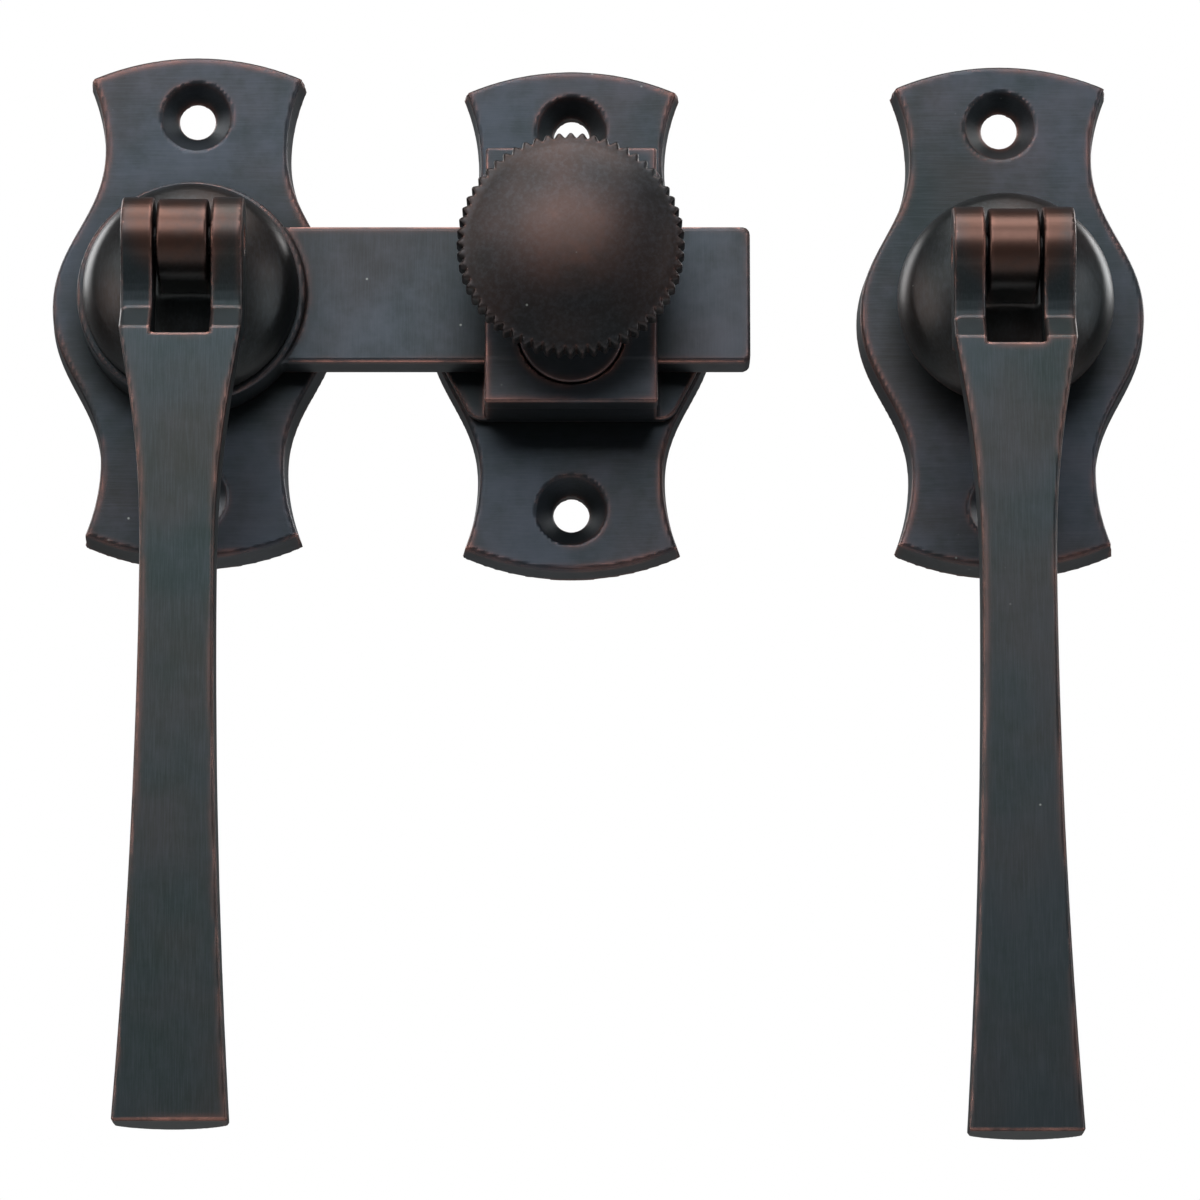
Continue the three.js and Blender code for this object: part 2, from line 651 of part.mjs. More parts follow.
function piece(name, manifold, material) {
  const mesh = new THREE.Mesh(geometryOf(manifold), material());
  mesh.name = name;
  return mesh;
}

function placed(x, y, z, ...pieces) {
  const group = new THREE.Group();
  group.position.set(x, y, z);
  group.add(...pieces);
  return group;
}

// The pieces that the latch and the outside handle have in common.
function handleSet(side, hubSolid) {
  return [
    piece(`${side}_plate`, handlePlate(), bronze),
    piece(`${side}_hub`, hubSolid, wornBronze),
    piece(`${side}_washer`, flatWasher(), springSteel),
    piece(`${side}_spring_washer`, springWasher(), springSteel),
    piece(`${side}_retaining_ring`, retainingRing(), springSteel),
    placed(
      0, PIVOT_UP, PIVOT_Z,
      piece(`${side}_lever`, lever(), bronze),
      piece(`${side}_hinge_pin`, hingePin(), pinSteel),
    ),
  ];
}

const latch = placed(0, 0, 0, ...handleSet('latch', hub()), piece('latch_bar', bar(), bronze));

const keeper = placed(
  KEEPER_X, KEEPER_Y, 0,
  piece('keeper_plate', keeperPlate(), bronze),
  piece('keeper_hook', keeperHook(), bronze),
  ...RIVET_PLACES.map((place) => piece(place.name, rivetSolid(place, 0), pinSteel)),
  piece('lock_bush', lockBush(), bronze),
  placed(
    0, LOCK_UP, 0,
    piece('clamp_shoe', clampShoe(), pinSteel),
    piece('lock_screw', lockScrew(), pinSteel),
    piece('lock_knob', lockKnob(), wornBronze),
  ),
);

const outside = placed(
  OUTER_X, OUTER_Y, 0,
  ...handleSet('outer', hub().subtract(crossPinHole())),
  piece('outer_spacer', spacer(), bronze),
  piece('spindle', spindle(), pinSteel),
  piece('spindle_pin', crossPin(), pinSteel),
);

const toggleBoltLatch = new THREE.Group();
toggleBoltLatch.rotation.x = Math.PI / 2;
toggleBoltLatch.add(latch, keeper, outside);

export default toggleBoltLatch;
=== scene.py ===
import math

import bmesh
import bpy
import numpy as np
from mathutils import Matrix, Vector


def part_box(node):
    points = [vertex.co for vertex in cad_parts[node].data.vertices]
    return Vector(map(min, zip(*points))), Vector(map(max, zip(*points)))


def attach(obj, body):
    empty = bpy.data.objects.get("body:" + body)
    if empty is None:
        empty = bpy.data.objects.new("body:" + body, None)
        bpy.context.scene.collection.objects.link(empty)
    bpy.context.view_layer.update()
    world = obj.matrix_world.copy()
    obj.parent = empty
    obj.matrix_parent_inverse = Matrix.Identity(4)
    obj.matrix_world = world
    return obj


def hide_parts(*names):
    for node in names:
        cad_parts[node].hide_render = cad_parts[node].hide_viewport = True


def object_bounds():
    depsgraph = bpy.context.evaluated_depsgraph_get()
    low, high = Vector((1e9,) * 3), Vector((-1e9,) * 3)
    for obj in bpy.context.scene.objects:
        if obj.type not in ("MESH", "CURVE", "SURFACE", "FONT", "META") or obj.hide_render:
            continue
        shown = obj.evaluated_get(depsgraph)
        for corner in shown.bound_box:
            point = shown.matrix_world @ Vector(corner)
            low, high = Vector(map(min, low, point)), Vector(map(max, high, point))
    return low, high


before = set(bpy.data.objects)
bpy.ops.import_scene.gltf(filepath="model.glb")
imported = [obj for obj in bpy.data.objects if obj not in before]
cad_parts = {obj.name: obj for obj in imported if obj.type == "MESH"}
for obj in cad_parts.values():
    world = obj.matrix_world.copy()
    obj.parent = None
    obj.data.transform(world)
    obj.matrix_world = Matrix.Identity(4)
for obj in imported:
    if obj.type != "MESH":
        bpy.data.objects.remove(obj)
cad_low, cad_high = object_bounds()

# ------------------------------------------------------------------ latch and outside plates
# Waisted plates of cast brass, hollow behind, with a bored middle for the hub and two
# countersunk screw holes. The faces are linished across, oiled dark, and rubbed at the edges.

MM = 0.001
BULGE_HALF = 16.4
WAIST_HALF = 10.65
FLARE_HALF = 12.4
WAIST_UP = 18.3
CORNER_UP = 26.9
ARCH_RISE = 2.7
SWEEP = 0.42
PLATE_DRAFT = 0.3
PLATE_T = 5.5
WEB_T = 2.7
RIM_WALL = 2.0
PLATE_EDGE_R = 0.45
BACK_EDGE_R = 0.15
POCKET_CORNER_R = 0.5
POCKET_LIP_R = 0.2
HOLE_LIP_R = 0.12
PLATE_CELL = 0.4
BORE_R = 4.58
SCREW_UP = 22.25
SCREW_HOLE_R = 2.05
SINK_R = 4.05
SINK_SLOPE = math.tan(math.radians(41))


def curve(points, steps):
    """A Bezier curve of any order, without its last point."""
    t = np.linspace(0, 1, steps, endpoint=False)[:, None]
    order = len(points) - 1
    weights = [math.comb(order, k) * t**k * (1 - t) ** (order - k) for k in range(order + 1)]
    return sum(w * np.array(p, float) for w, p in zip(weights, points))


def arc(centre, radius, start, end, steps):
    """Points along an arc in degrees, without its last point."""
    angle = np.radians(np.linspace(start, end, steps, endpoint=False))
    return np.c_[centre[0] + radius * np.cos(angle), centre[1] + radius * np.sin(angle)]


class Outline:
    """A closed outline as a table of distances to its edge in mm, below zero inside it."""

    def __init__(self, points, step=0.1, margin=4.0):
        points = np.array(points, float)
        self.step = step
        self.low = points.min(0) - margin
        count = np.ceil((points.max(0) + margin - self.low) / step).astype(int) + 1
        u, v = np.meshgrid(*(self.low[k] + step * np.arange(count[k]) for k in (0, 1)), indexing="ij")
        nearest = np.full(u.shape, 1e9)
        inside = np.zeros(u.shape, bool)
        for a, b in zip(points, np.roll(points, -1, 0)):
            edge = b - a
            along = ((u - a[0]) * edge[0] + (v - a[1]) * edge[1]) / max(edge @ edge, 1e-12)
            along = np.clip(along, 0, 1)
            away = (u - a[0] - along * edge[0]) ** 2 + (v - a[1] - along * edge[1]) ** 2
            nearest = np.minimum(nearest, away)
            if a[1] != b[1]:
                across = ((a[1] > v) != (b[1] > v)) & (u < a[0] + (v - a[1]) * edge[0] / edge[1])
                inside ^= across
        self.table = np.where(inside, -1, 1) * np.sqrt(nearest)

    def __call__(self, u, v):
        s = np.clip((u - self.low[0]) / self.step, 0, self.table.shape[0] - 1.001)
        t = np.clip((v - self.low[1]) / self.step, 0, self.table.shape[1] - 1.001)
        i, j = s.astype(int), t.astype(int)
        s, t = s - i, t - j
        near = self.table[i, j] * (1 - s) + self.table[i + 1, j] * s
        far = self.table[i, j + 1] * (1 - s) + self.table[i + 1, j + 1] * s
        return near * (1 - t) + far * t


def meet(a, b, radius):
    """Where both shapes are, with the edge between them rounded over."""
    over = np.hypot(np.maximum(a + radius, 0), np.maximum(b + radius, 0))
    return np.minimum(-radius, np.maximum(a, b)) + over


def cut(a, b, radius):
    """The first shape with the second taken out of it, and the mouth's edge rounded over."""
    return meet(a, -b, radius)


def join(a, b, radius):
    """Both shapes, with a fillet in the corner between them."""
    under = np.hypot(np.maximum(radius - a, 0), np.maximum(radius - b, 0))
    return np.maximum(radius, np.minimum(a, b)) - under


def skin(name, distance, low, high, cell, place):
    """The surface of a cast shape given by its distances in mm, as a mesh object."""
    axes = [np.arange(a - 1.7 * cell, b + 2.1 * cell, cell) for a, b in zip(low, high)]
    corner = np.array([axis[0] for axis in axes])
    field = distance(*np.meshgrid(*axes, indexing="ij"))
    inside = field < 0
    room = tuple(n - 1 for n in field.shape)
    sums = np.zeros(room + (4,))
    rims = []
    for axis in range(3):
        here = np.argwhere(inside != np.roll(inside, -1, axis))
        ahead = here.copy()
        ahead[:, axis] += 1
        at, beyond = field[tuple(here.T)], field[tuple(ahead.T)]
        crossing = corner + cell * here
        crossing[:, axis] += cell * at / (at - beyond)
        cells = []
        for left, right in ((-1, -1), (0, -1), (0, 0), (-1, 0)):
            around = here.copy()
            around[:, (axis + 1) % 3] += left
            around[:, (axis + 2) % 3] += right
            np.add.at(sums, tuple(around.T), np.c_[crossing, np.ones(len(crossing))])
            cells.append(around)
        rims.append((cells, inside[tuple(here.T)]))
    used = sums[..., 3] > 0
    number = np.cumsum(used.ravel()).reshape(room) - 1
    points = sums[used][:, :3] / sums[used][:, 3:]
    quads = []
    for cells, outward in rims:
        quad = np.stack([number[tuple(c.T)] for c in cells], axis=1)
        quad[~outward] = quad[~outward][:, ::-1]
        quads.append(quad)

    def slope(p):
        reach = 0.02
        sides = [(distance(*(p + reach * e).T), distance(*(p - reach * e).T)) for e in np.eye(3)]
        return np.stack([(ahead - behind) / (2 * reach) for ahead, behind in sides], axis=1)

    for _ in range(3):
        lean = slope(points)
        push = distance(*points.T) / np.maximum((lean**2).sum(1), 0.25)
        points -= np.clip(push, -cell / 2, cell / 2)[:, None] * lean

    place = np.array(place)
    mesh = bpy.data.meshes.new(name)
    stood = np.stack([points[:, 0], -points[:, 2], points[:, 1]], axis=1) * MM + place
    mesh.from_pydata(stood.tolist(), [], np.concatenate(quads).tolist())
    shape = bmesh.new()
    shape.from_mesh(mesh)
    bmesh.ops.dissolve_limit(shape, angle_limit=0.003, verts=shape.verts, edges=shape.edges)
    shape.to_mesh(mesh)
    shape.free()

    local = np.empty(3 * len(mesh.vertices))
    mesh.vertices.foreach_get("co", local)
    local = (local.reshape(-1, 3) - place) / MM
    lean = slope(np.stack([local[:, 0], local[:, 2], -local[:, 1]], axis=1))
    lean /= np.maximum(np.linalg.norm(lean, axis=1, keepdims=True), 1e-9)
    facing = np.stack([lean[:, 0], -lean[:, 2], lean[:, 1]], axis=1)
    corners = np.empty(len(mesh.loops), int)
    mesh.loops.foreach_get("vertex_index", corners)
    normals = facing[corners]
    flat_area = 4 * MM**2
    for polygon in mesh.polygons:
        if polygon.area > flat_area and polygon.loop_total > 4:
            normals[polygon.loop_start : polygon.loop_start + polygon.loop_total] = polygon.normal
    mesh.polygons.foreach_set("use_smooth", [True] * len(mesh.polygons))
    mesh.normals_split_custom_set(normals.tolist())
    made = bpy.data.objects.new(name, mesh)
    bpy.context.scene.collection.objects.link(made)
    return made


def centre_of(node):
    """Where a set's own frame sits in the object: the middle of its plate, on the door's face."""
    low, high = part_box(node)
    return ((low[0] + high[0]) / 2, 0.0, (low[2] + high[2]) / 2)


def effect(name, inputs, outputs):
    """An empty shader node group with named inputs and outputs."""
    group = bpy.data.node_groups.new(name, "ShaderNodeTree")
    for label, kind, value in inputs:
        socket = group.interface.new_socket(label, in_out="INPUT", socket_type=kind)
        if value is not None:
            socket.default_value = value
    for label, kind in outputs:
        group.interface.new_socket(label, in_out="OUTPUT", socket_type=kind)
    return group, group.nodes.new("NodeGroupInput"), group.nodes.new("NodeGroupOutput")


def calculate(tree, operation, *values, clamp=False):
    """A Math node on numbers or other nodes' outputs."""
    node = tree.nodes.new("ShaderNodeMath")
    node.operation = operation
    node.use_clamp = clamp
    for k, value in enumerate(values):
        if isinstance(value, (int, float)):
            node.inputs[k].default_value = value
        else:
            tree.links.new(value, node.inputs[k])
    return node.outputs[0]


def spread(tree, value, from_low, from_high, to_low, to_high):
    """A smooth step from one range to another."""
    node = tree.nodes.new("ShaderNodeMapRange")
    node.interpolation_type = "SMOOTHSTEP"
    for k, number in zip((1, 2, 3, 4), (from_low, from_high, to_low, to_high)):
        node.inputs[k].default_value = number
    tree.links.new(value, node.inputs[0])
    return node.outputs[0]


def mottle(tree, where, scale, detail, roughness=0.55):
    """A noise over the surface."""
    node = tree.nodes.new("ShaderNodeTexNoise")
    node.inputs["Scale"].default_value = scale
    node.inputs["Detail"].default_value = detail
    node.inputs["Roughness"].default_value = roughness
    tree.links.new(where, node.inputs["Vector"])
    return node.outputs["Fac"]


def blend_colours(tree, share, first, second):
    """A colour between two others."""
    node = tree.nodes.new("ShaderNodeMix")
    node.data_type = "RGBA"
    tree.links.new(share, node.inputs["Factor"])
    for socket, value in ((node.inputs[6], first), (node.inputs[7], second)):
        if isinstance(value, tuple):
            socket.default_value = value
        else:
            tree.links.new(value, socket)
    return node.outputs[2]


# Patina: the oxide lies unevenly, bluish where it is thin and greenish black where thick.
patina, given, result = effect(
    "patina",
    [
        ("Position", "NodeSocketVector", None),
        ("Thin", "NodeSocketColor", (0.070, 0.080, 0.098, 1)),
        ("Thick", "NodeSocketColor", (0.022, 0.030, 0.031, 1)),
        ("Warm", "NodeSocketColor", (0.050, 0.022, 0.015, 1)),
        ("Warmth", "NodeSocketFloat", 0.3),
    ],
    [("Colour", "NodeSocketColor"), ("Cloud", "NodeSocketFloat")],
)
cloud = mottle(patina, given.outputs["Position"], 38, 3)
fine_cloud = mottle(patina, given.outputs["Position"], 420, 5, 0.65)
thickness = calculate(
    patina, "ADD",
    calculate(patina, "MULTIPLY", cloud, 0.65),
    calculate(patina, "MULTIPLY", fine_cloud, 0.35),
)
cool = blend_colours(
    patina, spread(patina, thickness, 0.34, 0.66, 0, 1),
    given.outputs["Thin"], given.outputs["Thick"],
)
warm_cloud = spread(patina, mottle(patina, given.outputs["Position"], 70, 2), 0.35, 0.72, 0, 1)
share = calculate(patina, "MULTIPLY", warm_cloud, given.outputs["Warmth"], clamp=True)
patina.links.new(blend_colours(patina, share, cool, given.outputs["Warm"]), result.inputs["Colour"])
patina.links.new(thickness, result.inputs["Cloud"])

# Rubbed edges: the oxide is worn through to copper-coloured metal along the very edge, and
# thinned to brown in a softer band beside it.
rubbing, given, result = effect(
    "rubbed_edges",
    [
        ("Position", "NodeSocketVector", None),
        ("Amount", "NodeSocketFloat", 1.0),
        ("Band", "NodeSocketFloat", 0.5),
    ],
    [("Mask", "NodeSocketFloat"), ("Brown", "NodeSocketFloat")],
)
plain = rubbing.nodes.new("ShaderNodeNewGeometry")


def near_edge(radius, samples, full):
    """How much the surface turns within a distance: none on a flat, one on a corner."""
    rounded = rubbing.nodes.new("ShaderNodeBevel")
    rounded.samples = samples
    rounded.inputs["Radius"].default_value = radius
    agreement = rubbing.nodes.new("ShaderNodeVectorMath")
    agreement.operation = "DOT_PRODUCT"
    rubbing.links.new(rounded.outputs["Normal"], agreement.inputs[0])
    rubbing.links.new(plain.outputs["Normal"], agreement.inputs[1])
    return spread(rubbing, agreement.outputs["Value"], 0.998, full, 0, 1)


patchy = spread(rubbing, mottle(rubbing, given.outputs["Position"], 240, 4, 0.6), 0.38, 0.60, 0.2, 1)
worn = calculate(rubbing, "MULTIPLY", near_edge(0.45 * MM, 6, 0.93), patchy)
worn = calculate(rubbing, "MULTIPLY", worn, given.outputs["Amount"], clamp=True)
rubbing.links.new(worn, result.inputs["Mask"])
lazy = spread(rubbing, mottle(rubbing, given.outputs["Position"], 75, 3, 0.6), 0.40, 0.62, 0, 1)
band = calculate(rubbing, "MULTIPLY", near_edge(1.7 * MM, 6, 0.86), lazy)
band = calculate(rubbing, "MULTIPLY", band, given.outputs["Band"], clamp=True)
rubbing.links.new(band, result.inputs["Brown"])

# Dark recesses: the oxide stays thick and black where nothing rubs it, and this ambient-occlusion mask also
# paints shade there, darkening hollows, creases, countersinks and the plate under the rose where shade
# falls.
recesses, given, result = effect(
    "recess_oxide_and_painted_shade",
    [("Amount", "NodeSocketFloat", 0.9)],
    [("Mask", "NodeSocketFloat")],
)
open_sky = recesses.nodes.new("ShaderNodeAmbientOcclusion")
open_sky.samples = 6
open_sky.inputs["Distance"].default_value = 5 * MM
oxide_and_shade = spread(recesses, open_sky.outputs["AO"], 0.95, 0.38, 0, 1)
oxide_and_shade = calculate(recesses, "MULTIPLY", oxide_and_shade, given.outputs["Amount"], clamp=True)
recesses.links.new(oxide_and_shade, result.inputs["Mask"])

# Brushing: fine parallel scratches of the linishing belt, drawn out along one direction.
brushing, given, result = effect(
    "brushing",
    [("Position", "NodeSocketVector", None), ("Fineness", "NodeSocketVector", (9000, 9000, 250))],
    [("Scratch", "NodeSocketFloat")],
)
drawn = brushing.nodes.new("ShaderNodeVectorMath")
drawn.operation = "MULTIPLY"
brushing.links.new(given.outputs["Position"], drawn.inputs[0])
brushing.links.new(given.outputs["Fineness"], drawn.inputs[1])
brushing.links.new(mottle(brushing, drawn.outputs[0], 1, 3, 0.7), result.inputs["Scratch"])

# Casting marks: small pits in the metal and a few pale specks of dust.
marks, given, result = effect(
    "casting_marks",
    [("Position", "NodeSocketVector", None)],
    [("Pit", "NodeSocketFloat"), ("Speck", "NodeSocketFloat")],
)
pit = spread(marks, mottle(marks, given.outputs["Position"], 1500, 2, 0.5), 0.70, 0.78, 0, 1)
marks.links.new(pit, result.inputs["Pit"])
dot = marks.nodes.new("ShaderNodeTexVoronoi")
dot.inputs["Scale"].default_value = 420
marks.links.new(given.outputs["Position"], dot.inputs["Vector"])
speck = spread(marks, dot.outputs["Distance"], 0.075, 0.03, 0, 1)
sparse = spread(marks, mottle(marks, given.outputs["Position"], 130, 2), 0.60, 0.70, 0, 1)
marks.links.new(calculate(marks, "MULTIPLY", speck, sparse), result.inputs["Speck"])

COPPER = (0.50, 0.235, 0.185, 1)
BROWN = (0.150, 0.066, 0.052, 1)
THUMBED = (0.046, 0.023, 0.017, 1)
OXIDE_AND_SHADE_BLACK = (0.006, 0.008, 0.008, 1)


def place_effect(tree, group, where, **values):
    """A node group placed in a material, with its own values."""
    node = tree.nodes.new("ShaderNodeGroup")
    node.node_tree = group
    if "Position" in node.inputs:
        tree.links.new(where, node.inputs["Position"])
    for label, value in values.items():
        node.inputs[label].default_value = value
    return node


def oiled_bronze(name, fineness, thin, thick, warmth, rubbed, band, roughness, thumbed=None):
    """Oil-rubbed bronze, brushed along one direction. Thumbed gives the middle of a place that
    hands have rubbed brown, with the radii where that starts and ends, in metres."""
    material = bpy.data.materials.new(name)
    material.use_nodes = True
    tree = material.node_tree
    tree.nodes.clear()
    where = tree.nodes.new("ShaderNodeTexCoord").outputs["Object"]
    film = place_effect(tree, patina, where, Thin=thin, Thick=thick, Warmth=warmth)
    edges = place_effect(tree, rubbing, where, Amount=rubbed, Band=band)
    oxide_and_shade = place_effect(tree, recesses, where, Amount=0.9)
    brushed = place_effect(tree, brushing, where, Fineness=fineness)
    cast = place_effect(tree, marks, where)
    scratch = brushed.outputs["Scratch"]
    streak = spread(tree, scratch, 0.38, 0.72, 0, 0.20)
    colour = blend_colours(tree, streak, film.outputs["Colour"], (0.046, 0.053, 0.062, 1))
    if thumbed:
        middle, full, none = thumbed
        reach = tree.nodes.new("ShaderNodeVectorMath")
        reach.operation = "DISTANCE"
        tree.links.new(where, reach.inputs[0])
        reach.inputs[1].default_value = middle
        touched = spread(tree, reach.outputs["Value"], full, none, 1, 0)
        uneven = spread(tree, film.outputs["Cloud"], 0.40, 0.58, 1, 0.35)
        touched = calculate(tree, "MULTIPLY", touched, uneven)
        colour = blend_colours(tree, touched, colour, THUMBED)
    # Painted shade: the ambient-occlusion mask darkens hollows and gaps between parts towards black, over
    # the oxide that stays thick there.
    colour = blend_colours(tree, oxide_and_shade.outputs["Mask"], colour, OXIDE_AND_SHADE_BLACK)
    colour = blend_colours(tree, edges.outputs["Brown"], colour, BROWN)
    colour = blend_colours(tree, edges.outputs["Mask"], colour, COPPER)
    colour = blend_colours(tree, cast.outputs["Speck"], colour, (0.16, 0.17, 0.16, 1))
    shader = tree.nodes.new("ShaderNodeBsdfPrincipled")
    tree.links.new(colour, shader.inputs["Base Color"])
    shader.inputs["Metallic"].default_value = 0.85
    shader.inputs["IOR"].default_value = 1.5
    gloss = calculate(tree, "MULTIPLY_ADD", film.outputs["Cloud"], 0.22, roughness - 0.11)
    gloss = calculate(tree, "MULTIPLY_ADD", scratch, 0.12, gloss, clamp=True)
    tree.links.new(gloss, shader.inputs["Roughness"])
    height = calculate(tree, "MULTIPLY_ADD", cast.outputs["Pit"], -1.4, scratch)
    bump = tree.nodes.new("ShaderNodeBump")
    bump.inputs["Strength"].default_value = 0.22
    bump.inputs["Distance"].default_value = 0.012 * MM
    tree.links.new(height, bump.inputs["Height"])
    tree.links.new(bump.outputs["Normal"], shader.inputs["Normal"])
    out = tree.nodes.new("ShaderNodeOutputMaterial")
    tree.links.new(shader.outputs[0], out.inputs["Surface"])
    return material


ALONG_X = (260, 7000, 7000)
ALONG_Z = (7000, 7000, 260)
BLUE_GREY = (0.023, 0.028, 0.036, 1)
GREEN_BLACK = (0.011, 0.016, 0.017, 1)

plate_bronze = oiled_bronze(
    "plate_bronze", ALONG_X, BLUE_GREY, GREEN_BLACK, warmth=0.15, rubbed=0.8, band=0.9, roughness=0.40
)

handle = SWEEP * WAIST_UP
arch_r = (FLARE_HALF**2 + ARCH_RISE**2) / (2 * ARCH_RISE)
arch_half = math.degrees(math.asin(FLARE_HALF / arch_r))
crown = CORNER_UP + ARCH_RISE
quarter = np.concatenate([
    curve([
        (BULGE_HALF, 0), (BULGE_HALF, handle), (WAIST_HALF, WAIST_UP - handle), (WAIST_HALF, WAIST_UP),
    ], 30),
    curve([
        (WAIST_HALF, WAIST_UP), (WAIST_HALF, (WAIST_UP + CORNER_UP) / 2), (FLARE_HALF, CORNER_UP),
    ], 12),
    arc((0, crown - arch_r), arch_r, 90 - arch_half, 90, 10),
    [(0, crown)],
])
top_half = np.concatenate([quarter, (quarter * (-1, 1))[-2::-1]])
waisted = Outline(np.concatenate([top_half, (top_half * (1, -1))[-2:0:-1]]))


def screw_holes(x, y, z, face):
    """Both countersunk holes of a plate whose face is at the given level."""
    away = np.hypot(x, np.abs(y) - SCREW_UP)
    sink = (away - SINK_R + (face - z) * SINK_SLOPE) * math.cos(math.atan(SINK_SLOPE))
    return np.minimum(sink, away - SCREW_HOLE_R)


def handle_plate(x, y, z):
    edge = waisted(x, y)
    body = meet(edge + PLATE_DRAFT * z / PLATE_T, z - PLATE_T, PLATE_EDGE_R)
    body = meet(body, -z, BACK_EDGE_R)
    pocket = meet(edge + RIM_WALL, z - (PLATE_T - WEB_T), POCKET_CORNER_R)
    body = cut(body, pocket, POCKET_LIP_R)
    body = cut(body, np.hypot(x, y) - BORE_R, HOLE_LIP_R)
    return cut(body, screw_holes(x, y, z, PLATE_T), HOLE_LIP_R)


for side in ("latch", "outer"):
    plate = skin(
        f"{side}_plate_casting", handle_plate,
        (-BULGE_HALF, -crown, 0), (BULGE_HALF, crown, PLATE_T), PLATE_CELL,
        centre_of(f"{side}_plate"),
    )
    plate.data.materials.append(plate_bronze)
    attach(plate, "plates")
    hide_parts(f"{side}_plate")

# ------------------------------------------------------------------------ hubs with their roses
# One brass casting each: a turned stem through the plate, a square that drives the bar, the
# domed rose and the tongue that carries the lever's hinge pin. Rubbed warmer on the tongue.

JOURNAL_R = 4.5
STEM_BACK = 0.35
BAR_BACK = 5.8
DRIVE_SQUARE = 9.2
ROSE_BACK = 12.1
ROSE_RIM = 16.5
ROSE_BASE_R = 12.2
ROSE_RIM_R = 11.8
DOME_RISE = 4.1
TONGUE_HALF = 2.825
TONGUE_R = 4.6
PIVOT_UP = 2.0
PIVOT_OUT = 26.4
PIN_BORE_R = 1.68
SOCKET_HALF = 2.43
SOCKET_TOP = 11.35
ROSE_EDGE_R = 1.3
ROSE_BACK_EDGE_R = 0.3
TONGUE_EDGE_R = 0.35
TONGUE_FILLET_R = 0.7
STEM_EDGE_R = 0.25
SQUARE_EDGE_R = 0.1
SOCKET_LIP_R = 0.15
SUNK = 1.0
STEM_SUNK = 0.5
HUB_CELL = 0.34

dome_base = ROSE_RIM_R - 0.9
dome_r = (dome_base**2 + DOME_RISE**2) / (2 * DOME_RISE)
dome_centre = ROSE_RIM + DOME_RISE - dome_r


def hub(x, y, z):
    away = np.hypot(x, y)
    taper = (ROSE_BASE_R - ROSE_RIM_R) / (ROSE_RIM - ROSE_BACK)
    rim = away - ROSE_BASE_R + (z - ROSE_BACK) * taper
    rose = meet(rim, np.hypot(away, z - dome_centre) - dome_r, ROSE_EDGE_R)
    rose = meet(rose, ROSE_BACK - z, ROSE_BACK_EDGE_R)
    knuckle = np.hypot(np.maximum(z - PIVOT_OUT, 0), y - PIVOT_UP) - TONGUE_R
    tongue = meet(knuckle, np.abs(x) - TONGUE_HALF, TONGUE_EDGE_R)
    tongue = meet(tongue, ROSE_RIM - SUNK - z, SQUARE_EDGE_R)
    tongue = cut(tongue, np.hypot(y - PIVOT_UP, z - PIVOT_OUT) - PIN_BORE_R, SQUARE_EDGE_R)
    drive = np.maximum(np.abs(x), np.abs(y)) - DRIVE_SQUARE / 2
    drive = meet(drive, BAR_BACK - z, SQUARE_EDGE_R)
    drive = meet(drive, z - ROSE_BACK - SUNK, SQUARE_EDGE_R)
    stem = meet(away - JOURNAL_R, STEM_BACK - z, STEM_EDGE_R)
    stem = meet(stem, z - BAR_BACK - STEM_SUNK, SQUARE_EDGE_R)
    body = np.minimum(np.minimum(join(rose, tongue, TONGUE_FILLET_R), drive), stem)
    socket = np.maximum(np.maximum(np.abs(x), np.abs(y)) - SOCKET_HALF, z - SOCKET_TOP)
    return cut(body, socket, SOCKET_LIP_R)


for side in ("latch", "outer"):
    rose_place = centre_of(f"{side}_plate")
    tongue_tip = (rose_place[0], -(PIVOT_OUT + TONGUE_R) * MM, rose_place[2] + (PIVOT_UP + 2) * MM)
    rose_bronze = oiled_bronze(
        f"{side}_rose_bronze", (3500, 3500, 900), (0.018, 0.020, 0.021, 1), (0.010, 0.012, 0.012, 1),
        warmth=0.25, rubbed=0.3, band=0.4, roughness=0.31, thumbed=(tongue_tip, 3.5 * MM, 8 * MM),
    )
    rose = skin(
        f"{side}_rose_casting", hub,
        (-ROSE_BASE_R, -ROSE_BASE_R, STEM_BACK),
        (ROSE_BASE_R, ROSE_BASE_R, PIVOT_OUT + TONGUE_R), HUB_CELL, rose_place,
    )
    rose.data.materials.append(rose_bronze)
    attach(rose, f"{side}_turning")
    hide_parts(f"{side}_hub")

# ------------------------------------------------------------------------------- latch bar
# Flat brass bar with a thicker round eye, cast in one and driven by the hub's square. Its
# face is brushed straight up and down, across its length.

BAR_FRONT = 10.6
EYE_FRONT = 11.8
EYE_R = 12.9
BAR_REACH = 63.0
BAR_HALF = 7.95
BAR_CORNER_R = 0.9
BAR_EDGE_R = 0.38
EYE_EDGE_R = 0.35
DRIVE_PLAY = 0.15
DRIVE_LIP_R = 0.1
BAR_CELL = 0.4

bar_bronze = oiled_bronze(
    "bar_bronze", ALONG_Z, (0.030, 0.036, 0.044, 1), (0.016, 0.021, 0.023, 1),
    warmth=0.12, rubbed=0.75, band=0.35, roughness=0.40,
)


def bar(x, y, z):
    blade = meet(np.abs(y) - BAR_HALF, x - BAR_REACH, BAR_CORNER_R)
    blade = meet(np.maximum(blade, -x), z - BAR_FRONT, BAR_EDGE_R)
    blade = meet(blade, BAR_BACK - z, BAR_EDGE_R)
    eye = meet(np.hypot(x, y) - EYE_R, z - EYE_FRONT, EYE_EDGE_R)
    eye = meet(eye, BAR_BACK - z, EYE_EDGE_R)
    square = np.maximum(np.abs(x), np.abs(y)) - DRIVE_SQUARE / 2 - DRIVE_PLAY
    return cut(join(blade, eye, EYE_EDGE_R), square, DRIVE_LIP_R)


